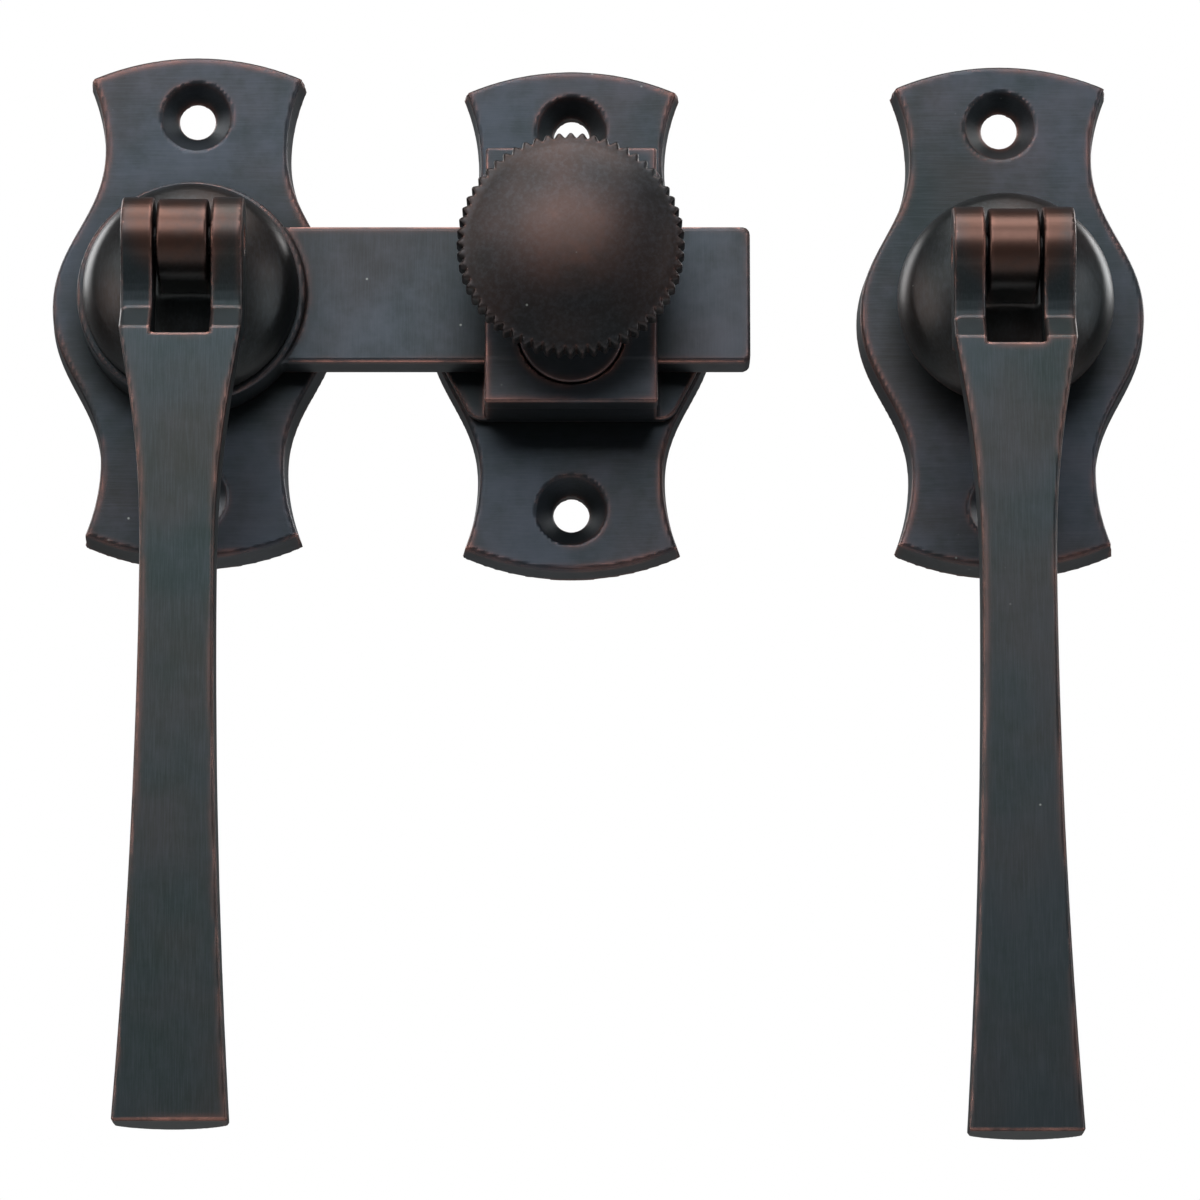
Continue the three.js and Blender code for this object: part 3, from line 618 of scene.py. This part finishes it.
latch_bar = skin(
    "latch_bar_casting", bar,
    (-EYE_R, -EYE_R, BAR_BACK), (BAR_REACH, EYE_R, EYE_FRONT), BAR_CELL,
    centre_of("latch_plate"),
)
latch_bar.data.materials.append(bar_bronze)
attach(latch_bar, "latch_turning")
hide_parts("latch_bar")

# ------------------------------------------------------------------------ forked levers
# Cast brass levers, flat in front and rounded behind, narrow below the fork and widening to
# a square-cut end. They hang from pins through the tongues, and are brushed lengthwise.

FORK_HALF = 6.73
FORK_SLOT_HALF = 3.2
FORK_SLOT_DROP = 11.7
EAR_R = 4.8
EAR_BLEND = 35
NECK_DROP = 8.4
NECK_FRONT = 2.6
SHOULDER_DROP = 11.0
GRIP_FRONT = 5.2
GRIP_BACK = -2.2
GRIP_CROWN_R = 7.5
GRIP_BACK_TOP = 15.0
GRIP_WAIST_HALF = 4.08
GRIP_WAIST_DROP = 37.0
GRIP_END_HALF = 6.35
GRIP_END_DROP = 98.7
GRIP_TUCK = 1.0
LEVER_EDGE_R = 0.36
CROWN_BLEND_R = 2.0
SLOT_EDGE_R = 0.3
PIN_LIP_R = 0.12
PIN_GRIP = 0.05
LEVER_CELL = 0.36

ear_side = EAR_R * math.cos(math.radians(EAR_BLEND))
ear_low = -EAR_R * math.sin(math.radians(EAR_BLEND))
lever_side = Outline(np.concatenate([
    arc((0, 0), EAR_R, -EAR_BLEND, 180 + EAR_BLEND, 50),
    curve([(-ear_side, ear_low), (GRIP_BACK, -NECK_DROP), (GRIP_BACK, -GRIP_BACK_TOP)], 12),
    [
        (GRIP_BACK, -GRIP_BACK_TOP), (GRIP_BACK, -GRIP_END_DROP), (GRIP_FRONT, -GRIP_END_DROP),
        (GRIP_FRONT, -SHOULDER_DROP),
    ],
    curve([(NECK_FRONT, -NECK_DROP), (NECK_FRONT, (ear_low - NECK_DROP) / 2), (ear_side, ear_low)], 6),
]))
bend = (GRIP_WAIST_DROP - SHOULDER_DROP) / 2
swell = (GRIP_WAIST_DROP + GRIP_END_DROP) / 2
past = 1.0
right_edge = np.concatenate([
    [(GRIP_END_HALF, -GRIP_END_DROP - past)],
    curve([
        (GRIP_END_HALF, -GRIP_END_DROP - past), (GRIP_WAIST_HALF, -swell),
        (GRIP_WAIST_HALF, -GRIP_WAIST_DROP),
    ], 24)[1:],
    curve([
        (GRIP_WAIST_HALF, -GRIP_WAIST_DROP), (GRIP_WAIST_HALF, bend - GRIP_WAIST_DROP),
        (FORK_HALF - GRIP_TUCK, -SHOULDER_DROP - bend / 2), (FORK_HALF, -SHOULDER_DROP),
    ], 20),
    [(FORK_HALF, -SHOULDER_DROP), (FORK_HALF, EAR_R + past)],
])
lever_face = Outline(np.concatenate([right_edge, (right_edge * (-1, 1))[::-1]]))


def lever(x, y, z):
    body = meet(lever_side(z, y), lever_face(x, y), LEVER_EDGE_R)
    crown_back = np.hypot(x, z - GRIP_BACK - GRIP_CROWN_R) - GRIP_CROWN_R
    body = meet(body, join(crown_back, -SHOULDER_DROP - y, CROWN_BLEND_R), SLOT_EDGE_R)
    slot = np.maximum(np.abs(x) - FORK_SLOT_HALF, -FORK_SLOT_DROP - y)
    body = cut(body, slot, SLOT_EDGE_R)
    return cut(body, np.hypot(y, z) - PIN_BORE_R + PIN_GRIP, PIN_LIP_R)


for side in ("latch", "outer"):
    set_place = centre_of(f"{side}_plate")
    place = (set_place[0], -PIVOT_OUT * MM, set_place[2] + PIVOT_UP * MM)
    ears = (place[0], place[1] - EAR_R * MM, place[2] + 2 * MM)
    lever_bronze = oiled_bronze(
        f"{side}_lever_bronze", ALONG_Z, (0.018, 0.024, 0.027, 1), (0.010, 0.017, 0.016, 1),
        warmth=0.15, rubbed=1.0, band=0.5, roughness=0.34, thumbed=(ears, 4.5 * MM, 8.5 * MM),
    )
    grip = skin(
        f"{side}_lever_casting", lever,
        (-FORK_HALF, -GRIP_END_DROP, -EAR_R), (FORK_HALF, EAR_R, GRIP_FRONT), LEVER_CELL,
        place,
    )
    grip.data.materials.append(lever_bronze)
    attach(grip, f"{side}_grip")
    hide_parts(f"{side}_lever")

# ------------------------------------------------------------------------------ steel parts
# Turned pins, rivets, the lock screw and the spring-steel stack behind each plate, bought in
# and left bright under a thin film of oil. Turned steel has marks round it, drawn steel along.


def oiled_steel(name, colour, roughness, fineness):
    """Bright steel with the fine marks of its making and a thin, uneven film of oil."""
    material = bpy.data.materials.new(name)
    material.use_nodes = True
    tree = material.node_tree
    tree.nodes.clear()
    where = tree.nodes.new("ShaderNodeTexCoord").outputs["Object"]
    brushed = place_effect(tree, brushing, where, Fineness=fineness)
    cloudy = mottle(tree, where, 240, 2)
    film = spread(tree, cloudy, 0.35, 0.7, 0, 0.3)
    dull = blend_colours(tree, film, colour, (0.16, 0.145, 0.125, 1))
    streak = spread(tree, brushed.outputs["Scratch"], 0.38, 0.72, 0, 0.25)
    dull = blend_colours(tree, streak, dull, (0.22, 0.22, 0.22, 1))
    edges = place_effect(tree, rubbing, where, Amount=0.5)
    dull = blend_colours(tree, edges.outputs["Mask"], dull, (0.62, 0.60, 0.57, 1))
    shader = tree.nodes.new("ShaderNodeBsdfPrincipled")
    tree.links.new(dull, shader.inputs["Base Color"])
    shader.inputs["Metallic"].default_value = 1.0
    gloss = calculate(tree, "MULTIPLY_ADD", cloudy, 0.12, roughness - 0.06, clamp=True)
    tree.links.new(gloss, shader.inputs["Roughness"])
    bump = tree.nodes.new("ShaderNodeBump")
    bump.inputs["Strength"].default_value = 0.25
    bump.inputs["Distance"].default_value = 0.01 * MM
    tree.links.new(brushed.outputs["Scratch"], bump.inputs["Height"])
    tree.links.new(bump.outputs["Normal"], shader.inputs["Normal"])
    out = tree.nodes.new("ShaderNodeOutputMaterial")
    tree.links.new(shader.outputs[0], out.inputs["Surface"])
    return material


ROUND_Y = (1200, 9000, 1200)
ALONG_Y = (9000, 260, 9000)
pin_steel = oiled_steel("pin_steel", (0.36, 0.35, 0.34, 1), 0.34, ROUND_Y)
spring_steel = oiled_steel("spring_steel", (0.42, 0.43, 0.45, 1), 0.28, ROUND_Y)
drawn_steel = oiled_steel("drawn_steel", (0.36, 0.35, 0.34, 1), 0.34, ALONG_Y)


def coat(node, material):
    """Gives a kept CAD node its finish."""
    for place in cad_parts[node].material_slots:
        place.link = "OBJECT"
        place.material = material


for node in (
    "keeper_rivet_lower_left", "keeper_rivet_lower_right", "keeper_rivet_upper_left",
    "keeper_rivet_upper_right", "clamp_shoe", "lock_screw", "spindle_pin",
):
    coat(node, pin_steel)
for side in ("latch", "outer"):
    coat(f"{side}_hinge_pin", plate_bronze)
    for part in ("washer", "spring_washer", "retaining_ring"):
        coat(f"{side}_{part}", spring_steel)

# ----------------------------------------------------------------------------- keeper plate
# The keeper's solid plate of the same outline, thinner, with the hook riveted to it from
# behind and the same two countersunk screw holes.

KEEPER_T = 4.0
RIVETS = [(x, y) for x in (-6.0, 6.0) for y in (-9.1, 14.4)]
RIVET_HOLE_R = 1.53
RIVET_HEAD_R = 2.43
RIVET_HEAD_TOP = 1.13
RIVET_LIP_R = 0.05


def keeper_plate(x, y, z):
    edge = waisted(x, y)
    body = meet(edge + PLATE_DRAFT * z / KEEPER_T, z - KEEPER_T, PLATE_EDGE_R)
    body = meet(body, -z, BACK_EDGE_R)
    body = cut(body, screw_holes(x, y, z, KEEPER_T), HOLE_LIP_R)
    for across, up in RIVETS:
        away = np.hypot(x - across, y - up)
        head = np.maximum(away - RIVET_HEAD_R, z - RIVET_HEAD_TOP)
        body = cut(body, np.minimum(head, away - RIVET_HOLE_R), RIVET_LIP_R)
    return body


keeper_place = centre_of("keeper_plate")
base = skin(
    "keeper_plate_casting", keeper_plate,
    (-BULGE_HALF, -crown, 0), (BULGE_HALF, crown, KEEPER_T), PLATE_CELL,
    keeper_place,
)
base.data.materials.append(plate_bronze)
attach(base, "plates")
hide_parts("keeper_plate")

# ------------------------------------------------------------------------------ keeper hook
# Cast brass hook: a pad on the plate, a leg below the bar and a wall in front of it, open at
# the top. Filed flat, so its corners are crisp and well rubbed.

PAD_BACK = 4.3
PAD_FACE = 5.55
PAD_INSET = 0.6
PAD_CORNER = 1.2
BLOCK_HALF = 9.65
BLOCK_TOP = 17.4
BLOCK_BOTTOM = -12.1
BLOCK_INSIDE = 11.05
BLOCK_FACE = 14.15
LEG_TOP = -7.05
BLOCK_UP = 2.65
INLAY_HALF = 6.7
INLAY_R = 5.9
SEAM = 0.15
SEAM_LIP_R = 0.1
INLAY_SUNK = 1.0
WALL_EDGE_R = 0.3
LEG_EDGE_R = 0.25
LOWER_RIVET_TIP = 7.6
HOOK_CELL = 0.36

hook_bronze = oiled_bronze(
    "hook_bronze", ALONG_X, (0.028, 0.033, 0.041, 1), (0.014, 0.019, 0.021, 1),
    warmth=0.12, rubbed=0.8, band=0.6, roughness=0.40,
)


def obround(x, y):
    """Distance to the inlay's outline, from its middle line."""
    rise = np.maximum(np.abs(y - BLOCK_UP) - INLAY_HALF, 0)
    return np.hypot(x, rise)


def hook(x, y, z):
    middle, half = (BLOCK_TOP + BLOCK_BOTTOM) / 2, (BLOCK_TOP - BLOCK_BOTTOM) / 2
    band = np.abs(y - middle) - half
    pad = meet(waisted(x, y) + PAD_INSET, band, PAD_CORNER)
    pad = meet(meet(pad, z - PAD_FACE, WALL_EDGE_R), PAD_BACK - z, SEAM_LIP_R)
    sides = np.abs(x) - BLOCK_HALF
    leg = meet(meet(sides, y - LEG_TOP, LEG_EDGE_R), BLOCK_BOTTOM - y, LEG_EDGE_R)
    leg_depth = np.abs(z - (PAD_BACK + BLOCK_FACE) / 2) - (BLOCK_FACE - PAD_BACK) / 2
    leg = meet(leg, leg_depth, LEG_EDGE_R)
    wall_depth = np.abs(z - (BLOCK_INSIDE + BLOCK_FACE) / 2) - (BLOCK_FACE - BLOCK_INSIDE) / 2
    wall = meet(meet(sides, band, WALL_EDGE_R), wall_depth, WALL_EDGE_R)
    body = join(join(pad, leg, LEG_EDGE_R), wall, LEG_EDGE_R)
    seat = np.maximum(obround(x, y) - INLAY_R - SEAM, BLOCK_INSIDE - INLAY_SUNK - z)
    body = cut(body, seat, SEAM_LIP_R)
    for across, up in RIVETS:
        tip = LOWER_RIVET_TIP if up < 0 else PAD_FACE
        hole = np.maximum(np.hypot(x - across, y - up) - RIVET_HOLE_R, z - tip)
        body = cut(body, hole, RIVET_LIP_R)
    return body


keeper_hook = skin(
    "keeper_hook_casting", hook,
    (-BULGE_HALF, BLOCK_BOTTOM, PAD_BACK), (BULGE_HALF, BLOCK_TOP, BLOCK_FACE), HOOK_CELL,
    keeper_place,
)
keeper_hook.data.materials.append(hook_bronze)
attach(keeper_hook, "plates")
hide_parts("keeper_hook")

# --------------------------------------------------------------------------------- lock bush
# Obround brass bush let into the hook's face, with a round barrel that is threaded for the
# lock screw and recessed behind for the clamp shoe.

LOCK_UP = 3.55
BUSH_PROUD = 0.4
BARREL_R = 4.6
BARREL_TOP = 18.15
SHOE_RECESS_R = 3.6
SHOE_RECESS_TOP = 13.55
THREAD_R = 2.58
INLAY_EDGE_R = 0.3
BARREL_EDGE_R = 0.2
BARREL_FILLET_R = 0.4
RECESS_LIP_R = 0.08
BUSH_CELL = 0.26


def bush(x, y, z):
    away = np.hypot(x, y - LOCK_UP)
    inlay = meet(obround(x, y) - INLAY_R, z - BLOCK_FACE - BUSH_PROUD, INLAY_EDGE_R)
    inlay = meet(inlay, BLOCK_INSIDE - z, SEAM_LIP_R)
    barrel = meet(away - BARREL_R, z - BARREL_TOP, BARREL_EDGE_R)
    barrel = meet(barrel, BLOCK_FACE - z, SEAM_LIP_R)
    body = join(inlay, barrel, BARREL_FILLET_R)
    recess = np.maximum(away - SHOE_RECESS_R, z - SHOE_RECESS_TOP)
    return cut(body, np.minimum(recess, away - THREAD_R), RECESS_LIP_R)


lock_bush = skin(
    "lock_bush_turned", bush,
    (-INLAY_R, BLOCK_UP - INLAY_HALF - INLAY_R, BLOCK_INSIDE),
    (INLAY_R, BLOCK_UP + INLAY_HALF + INLAY_R, BARREL_TOP), BUSH_CELL, keeper_place,
)
lock_bush.data.materials.append(hook_bronze)
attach(lock_bush, "plates")
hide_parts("lock_bush")

# --------------------------------------------------------------------------------- lock knob
# Turned brass thumb knob on the lock screw: a short neck, a straight-knurled rim and a low
# dome that fingers have rubbed brown.

KNOB_BACK = 18.45
KNOB_NECK_R = 5.2
KNOB_ROOT_R = 12.1
KNOB_TIP_R = 12.68
KNOB_TEETH = 60
KNOB_STEPS = 8
KNOB_DOME_STEPS = 14
KNOB_TOOTH_POWER = 0.75
KNOB_CREASE = math.radians(40)
KNOB_RIM_BACK = 21.25
KNOB_RIM_FRONT = 24.65
KNOB_DOME_RISE = 2.65
KNOB_DOME_R = 11.75
SCREW_SOCKET_R = 2.55
SCREW_SOCKET_TOP = 23.1

knob_low, knob_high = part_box("lock_knob")
centre = ((knob_low[0] + knob_high[0]) / 2, 0, (knob_low[2] + knob_high[2]) / 2)
knob_bronze = oiled_bronze(
    "knob_bronze", (1800, 1800, 1800), (0.017, 0.018, 0.020, 1), (0.010, 0.011, 0.011, 1),
    warmth=0.3, rubbed=0.12, band=0.0, roughness=0.34,
    thumbed=((centre[0], knob_low[1], centre[2]), 2.0 * MM, 8.0 * MM),
)
angles = np.arange(KNOB_TEETH * KNOB_STEPS) * 2 * math.pi / (KNOB_TEETH * KNOB_STEPS)
tooth = (0.5 + 0.5 * np.cos(KNOB_TEETH * angles)) ** KNOB_TOOTH_POWER
plain_ring = np.ones_like(angles)
knurled = KNOB_ROOT_R + (KNOB_TIP_R - KNOB_ROOT_R) * tooth
sphere = (KNOB_DOME_R**2 + KNOB_DOME_RISE**2) / (2 * KNOB_DOME_RISE)
dome_spread = math.asin(KNOB_DOME_R / sphere)
dome_top = KNOB_RIM_FRONT + KNOB_DOME_RISE
rings = [
    (plain_ring * SCREW_SOCKET_R, SCREW_SOCKET_TOP), (plain_ring * SCREW_SOCKET_R, KNOB_BACK + 0.2),
    (plain_ring * (SCREW_SOCKET_R + 0.2), KNOB_BACK), (plain_ring * (KNOB_NECK_R - 0.3), KNOB_BACK),
    (plain_ring * (KNOB_NECK_R - 0.09), KNOB_BACK + 0.09), (plain_ring * KNOB_NECK_R, KNOB_BACK + 0.3),
    (plain_ring * KNOB_NECK_R, KNOB_RIM_BACK - 1.3), (plain_ring * (KNOB_NECK_R + 0.1), KNOB_RIM_BACK - 1.1),
    (plain_ring * (KNOB_NECK_R + 0.35), KNOB_RIM_BACK - 0.95),
    (plain_ring * (KNOB_ROOT_R - 0.9), KNOB_RIM_BACK - 0.02),
    (plain_ring * (KNOB_ROOT_R - 0.55), KNOB_RIM_BACK),
    (knurled - 0.35, KNOB_RIM_BACK + 0.08), (knurled - 0.1, KNOB_RIM_BACK + 0.24),
    (knurled, KNOB_RIM_BACK + 0.45), (knurled, KNOB_RIM_FRONT - 0.55),
    (knurled - 0.08, KNOB_RIM_FRONT - 0.3), (knurled - 0.22, KNOB_RIM_FRONT - 0.12),
    (KNOB_ROOT_R - 0.2 + (knurled - KNOB_ROOT_R) * 0.3, KNOB_RIM_FRONT - 0.02),
]
for step in range(KNOB_DOME_STEPS):
    angle = dome_spread * (1 - step / KNOB_DOME_STEPS)
    rings.append((plain_ring * sphere * math.sin(angle), dome_top - sphere + sphere * math.cos(angle)))
points = []
for radius, level in rings:
    points += list(zip(radius * np.cos(angles), radius * np.sin(angles), np.full(len(angles), level)))
points += [(0, 0, SCREW_SOCKET_TOP), (0, 0, dome_top)]
around = len(angles)
faces = []
for ring in range(len(rings) - 1):
    for k in range(around):
        start, after = ring * around, (k + 1) % around
        faces.append((start + k, start + after, start + around + after, start + around + k))
last = (len(rings) - 1) * around
for k in range(around):
    faces.append((len(points) - 2, (k + 1) % around, k))
    faces.append((len(points) - 1, last + k, last + (k + 1) % around))
mesh = bpy.data.meshes.new("lock_knob_turned")
mesh.from_pydata(
    [(centre[0] + x * MM, -z * MM, centre[2] + y * MM) for x, y, z in points], [], faces
)
mesh.polygons.foreach_set("use_smooth", [True] * len(mesh.polygons))
mesh.set_sharp_from_angle(angle=KNOB_CREASE)
mesh.materials.append(knob_bronze)
knob = bpy.data.objects.new("lock_knob_turned", mesh)
bpy.context.scene.collection.objects.link(knob)
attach(knob, "lock_turning")
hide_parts("lock_knob")

# ----------------------------------------------------------------------- spacer and spindle
# Behind the outside rose a turned collar takes the bar's place. The square steel spindle is
# pinned in the hub and reaches through the door; its far end is chamfered.

SPACER_R = 10.4
SPACER_EDGE_R = 0.3
SPACER_CELL = 0.4
SPINDLE_HALF = 2.38
SPINDLE_TOP = 11.05
SPINDLE_REACH = 45.0
CROSS_PIN_OUT = 8.8
CROSS_PIN_R = 0.78
SPINDLE_EDGE_R = 0.3
SPINDLE_NOSE = 0.6
SPINDLE_TOP_EDGE_R = 0.15
SPINDLE_CELL = 0.3


def spacer(x, y, z):
    collar = meet(np.hypot(x, y) - SPACER_R, z - EYE_FRONT, SPACER_EDGE_R)
    collar = meet(collar, BAR_BACK - z, SPACER_EDGE_R)
    square = np.maximum(np.abs(x), np.abs(y)) - DRIVE_SQUARE / 2 - DRIVE_PLAY
    return cut(collar, square, DRIVE_LIP_R)


def spindle(x, y, z):
    body = meet(np.abs(x) - SPINDLE_HALF, np.abs(y) - SPINDLE_HALF, SPINDLE_EDGE_R)
    side = np.maximum(np.abs(x), np.abs(y))
    nose = (side - SPINDLE_HALF + SPINDLE_NOSE - z - SPINDLE_REACH) * math.sqrt(0.5)
    body = meet(body, z - SPINDLE_TOP, SPINDLE_TOP_EDGE_R)
    body = meet(body, np.maximum(-z - SPINDLE_REACH, nose), SPINDLE_TOP_EDGE_R)
    return cut(body, np.hypot(y, z - CROSS_PIN_OUT) - CROSS_PIN_R, RIVET_LIP_R)


outer_place = centre_of("outer_plate")
collar = skin(
    "outer_spacer_turned", spacer,
    (-SPACER_R, -SPACER_R, BAR_BACK), (SPACER_R, SPACER_R, EYE_FRONT), SPACER_CELL,
    outer_place,
)
collar.data.materials.append(plate_bronze)
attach(collar, "outer_turning")
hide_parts("outer_spacer")

square_rod = skin(
    "spindle_rod", spindle,
    (-SPINDLE_HALF, -SPINDLE_HALF, -SPINDLE_REACH), (SPINDLE_HALF, SPINDLE_HALF, SPINDLE_TOP),
    SPINDLE_CELL, outer_place,
)
square_rod.data.materials.append(drawn_steel)
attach(square_rod, "outer_turning")
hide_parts("spindle")

# ------------------------------------------------------------------------- floor, light, view
# A plain pale floor well below the set, a white studio round it, and large soft lamps. The
# floor is seen nearly as bright as the studio, so it has no hard edge. The camera looks up.

FLOOR_DROP = 0.55
FLOOR_SIZE = 6
FLOOR_MIDDLE = 0.046
FLOOR_EVENED = 0.9
bpy.ops.mesh.primitive_plane_add(
    size=FLOOR_SIZE, location=(FLOOR_MIDDLE, 0, cad_low[2] - FLOOR_DROP)
)
floor = bpy.context.object
floor.name = "pale_floor"
paint = bpy.data.materials.new("pale_floor_paint")
paint.use_nodes = True
floor_tree = paint.node_tree
matt = floor_tree.nodes["Principled BSDF"]
matt.inputs["Base Color"].default_value = (0.72, 0.72, 0.71, 1)
matt.inputs["Roughness"].default_value = 0.9
pale = floor_tree.nodes.new("ShaderNodeEmission")
pale.inputs["Color"].default_value = (1, 0.995, 0.985, 1)
pale.inputs["Strength"].default_value = 1.08
looked_at = floor_tree.nodes.new("ShaderNodeLightPath").outputs["Is Camera Ray"]
evened = floor_tree.nodes.new("ShaderNodeMixShader")
floor_tree.links.new(calculate(floor_tree, "MULTIPLY", looked_at, FLOOR_EVENED), evened.inputs[0])
floor_tree.links.new(matt.outputs[0], evened.inputs[1])
floor_tree.links.new(pale.outputs[0], evened.inputs[2])
floor_tree.links.new(evened.outputs[0], floor_tree.nodes["Material Output"].inputs["Surface"])
floor.data.materials.append(paint)

world = bpy.data.worlds.new("white_studio")
bpy.context.scene.world = world
world.use_nodes = True
sky = world.node_tree
sky.nodes.clear()
seen = sky.nodes.new("ShaderNodeBackground")
seen.inputs["Color"].default_value = (1, 1, 1, 1)
seen.inputs["Strength"].default_value = 1.0
fill = sky.nodes.new("ShaderNodeBackground")
fill.inputs["Color"].default_value = (0.94, 0.97, 1, 1)
fill.inputs["Strength"].default_value = 0.11
path = sky.nodes.new("ShaderNodeLightPath")
either = sky.nodes.new("ShaderNodeMixShader")
sky.links.new(path.outputs["Is Camera Ray"], either.inputs[0])
sky.links.new(fill.outputs[0], either.inputs[1])
sky.links.new(seen.outputs[0], either.inputs[2])
sky.links.new(either.outputs[0], sky.nodes.new("ShaderNodeOutputWorld").inputs["Surface"])

LOOK_AT = Vector((0.04605, -0.0055, -0.03418))


def soft_lamp(name, place, size, height, power, colour):
    lamp = bpy.data.lights.new(name, "AREA")
    lamp.shape = "RECTANGLE"
    lamp.size, lamp.size_y = size, height
    lamp.energy = power
    lamp.color = colour
    stand = bpy.data.objects.new(name, lamp)
    stand.location = place
    stand.rotation_mode = "QUATERNION"
    stand.rotation_quaternion = (LOOK_AT - Vector(place)).to_track_quat("-Z", "Y")
    bpy.context.scene.collection.objects.link(stand)


soft_lamp("front_lamp", (-0.10, -0.75, 0.42), 0.8, 0.45, 9, (0.97, 0.98, 1))
soft_lamp("top_lamp", (0.05, -0.25, 0.62), 0.6, 0.35, 6, (1, 0.97, 0.95))
soft_lamp("left_lamp", (-0.75, -0.45, 0.15), 0.3, 0.7, 3.5, (1, 0.96, 0.93))
soft_lamp("right_lamp", (0.85, -0.40, 0.10), 0.3, 0.7, 3, (0.95, 0.98, 1))
soft_lamp("back_left_lamp", (-0.70, 0.55, 0.45), 0.5, 0.5, 5, (1, 1, 1))
soft_lamp("back_right_lamp", (0.80, 0.55, 0.45), 0.5, 0.5, 5, (1, 1, 1))

LENS_MM = 206.1
TILT = math.radians(12.13)
DISTANCE = 0.7727
camera = bpy.data.cameras.new("camera")
camera.lens = LENS_MM
camera.sensor_width = 36.0
camera.clip_start = 0.01
viewpoint = bpy.data.objects.new("camera", camera)
bpy.context.scene.collection.objects.link(viewpoint)
aim = Matrix.Rotation(math.pi / 2 + TILT, 4, "X")
stand_off = Vector((0, -math.cos(TILT), -math.sin(TILT))) * DISTANCE
viewpoint.matrix_world = Matrix.Translation(LOOK_AT + stand_off) @ aim
bpy.context.scene.camera = viewpoint
bpy.context.scene.view_settings.view_transform = "Standard"
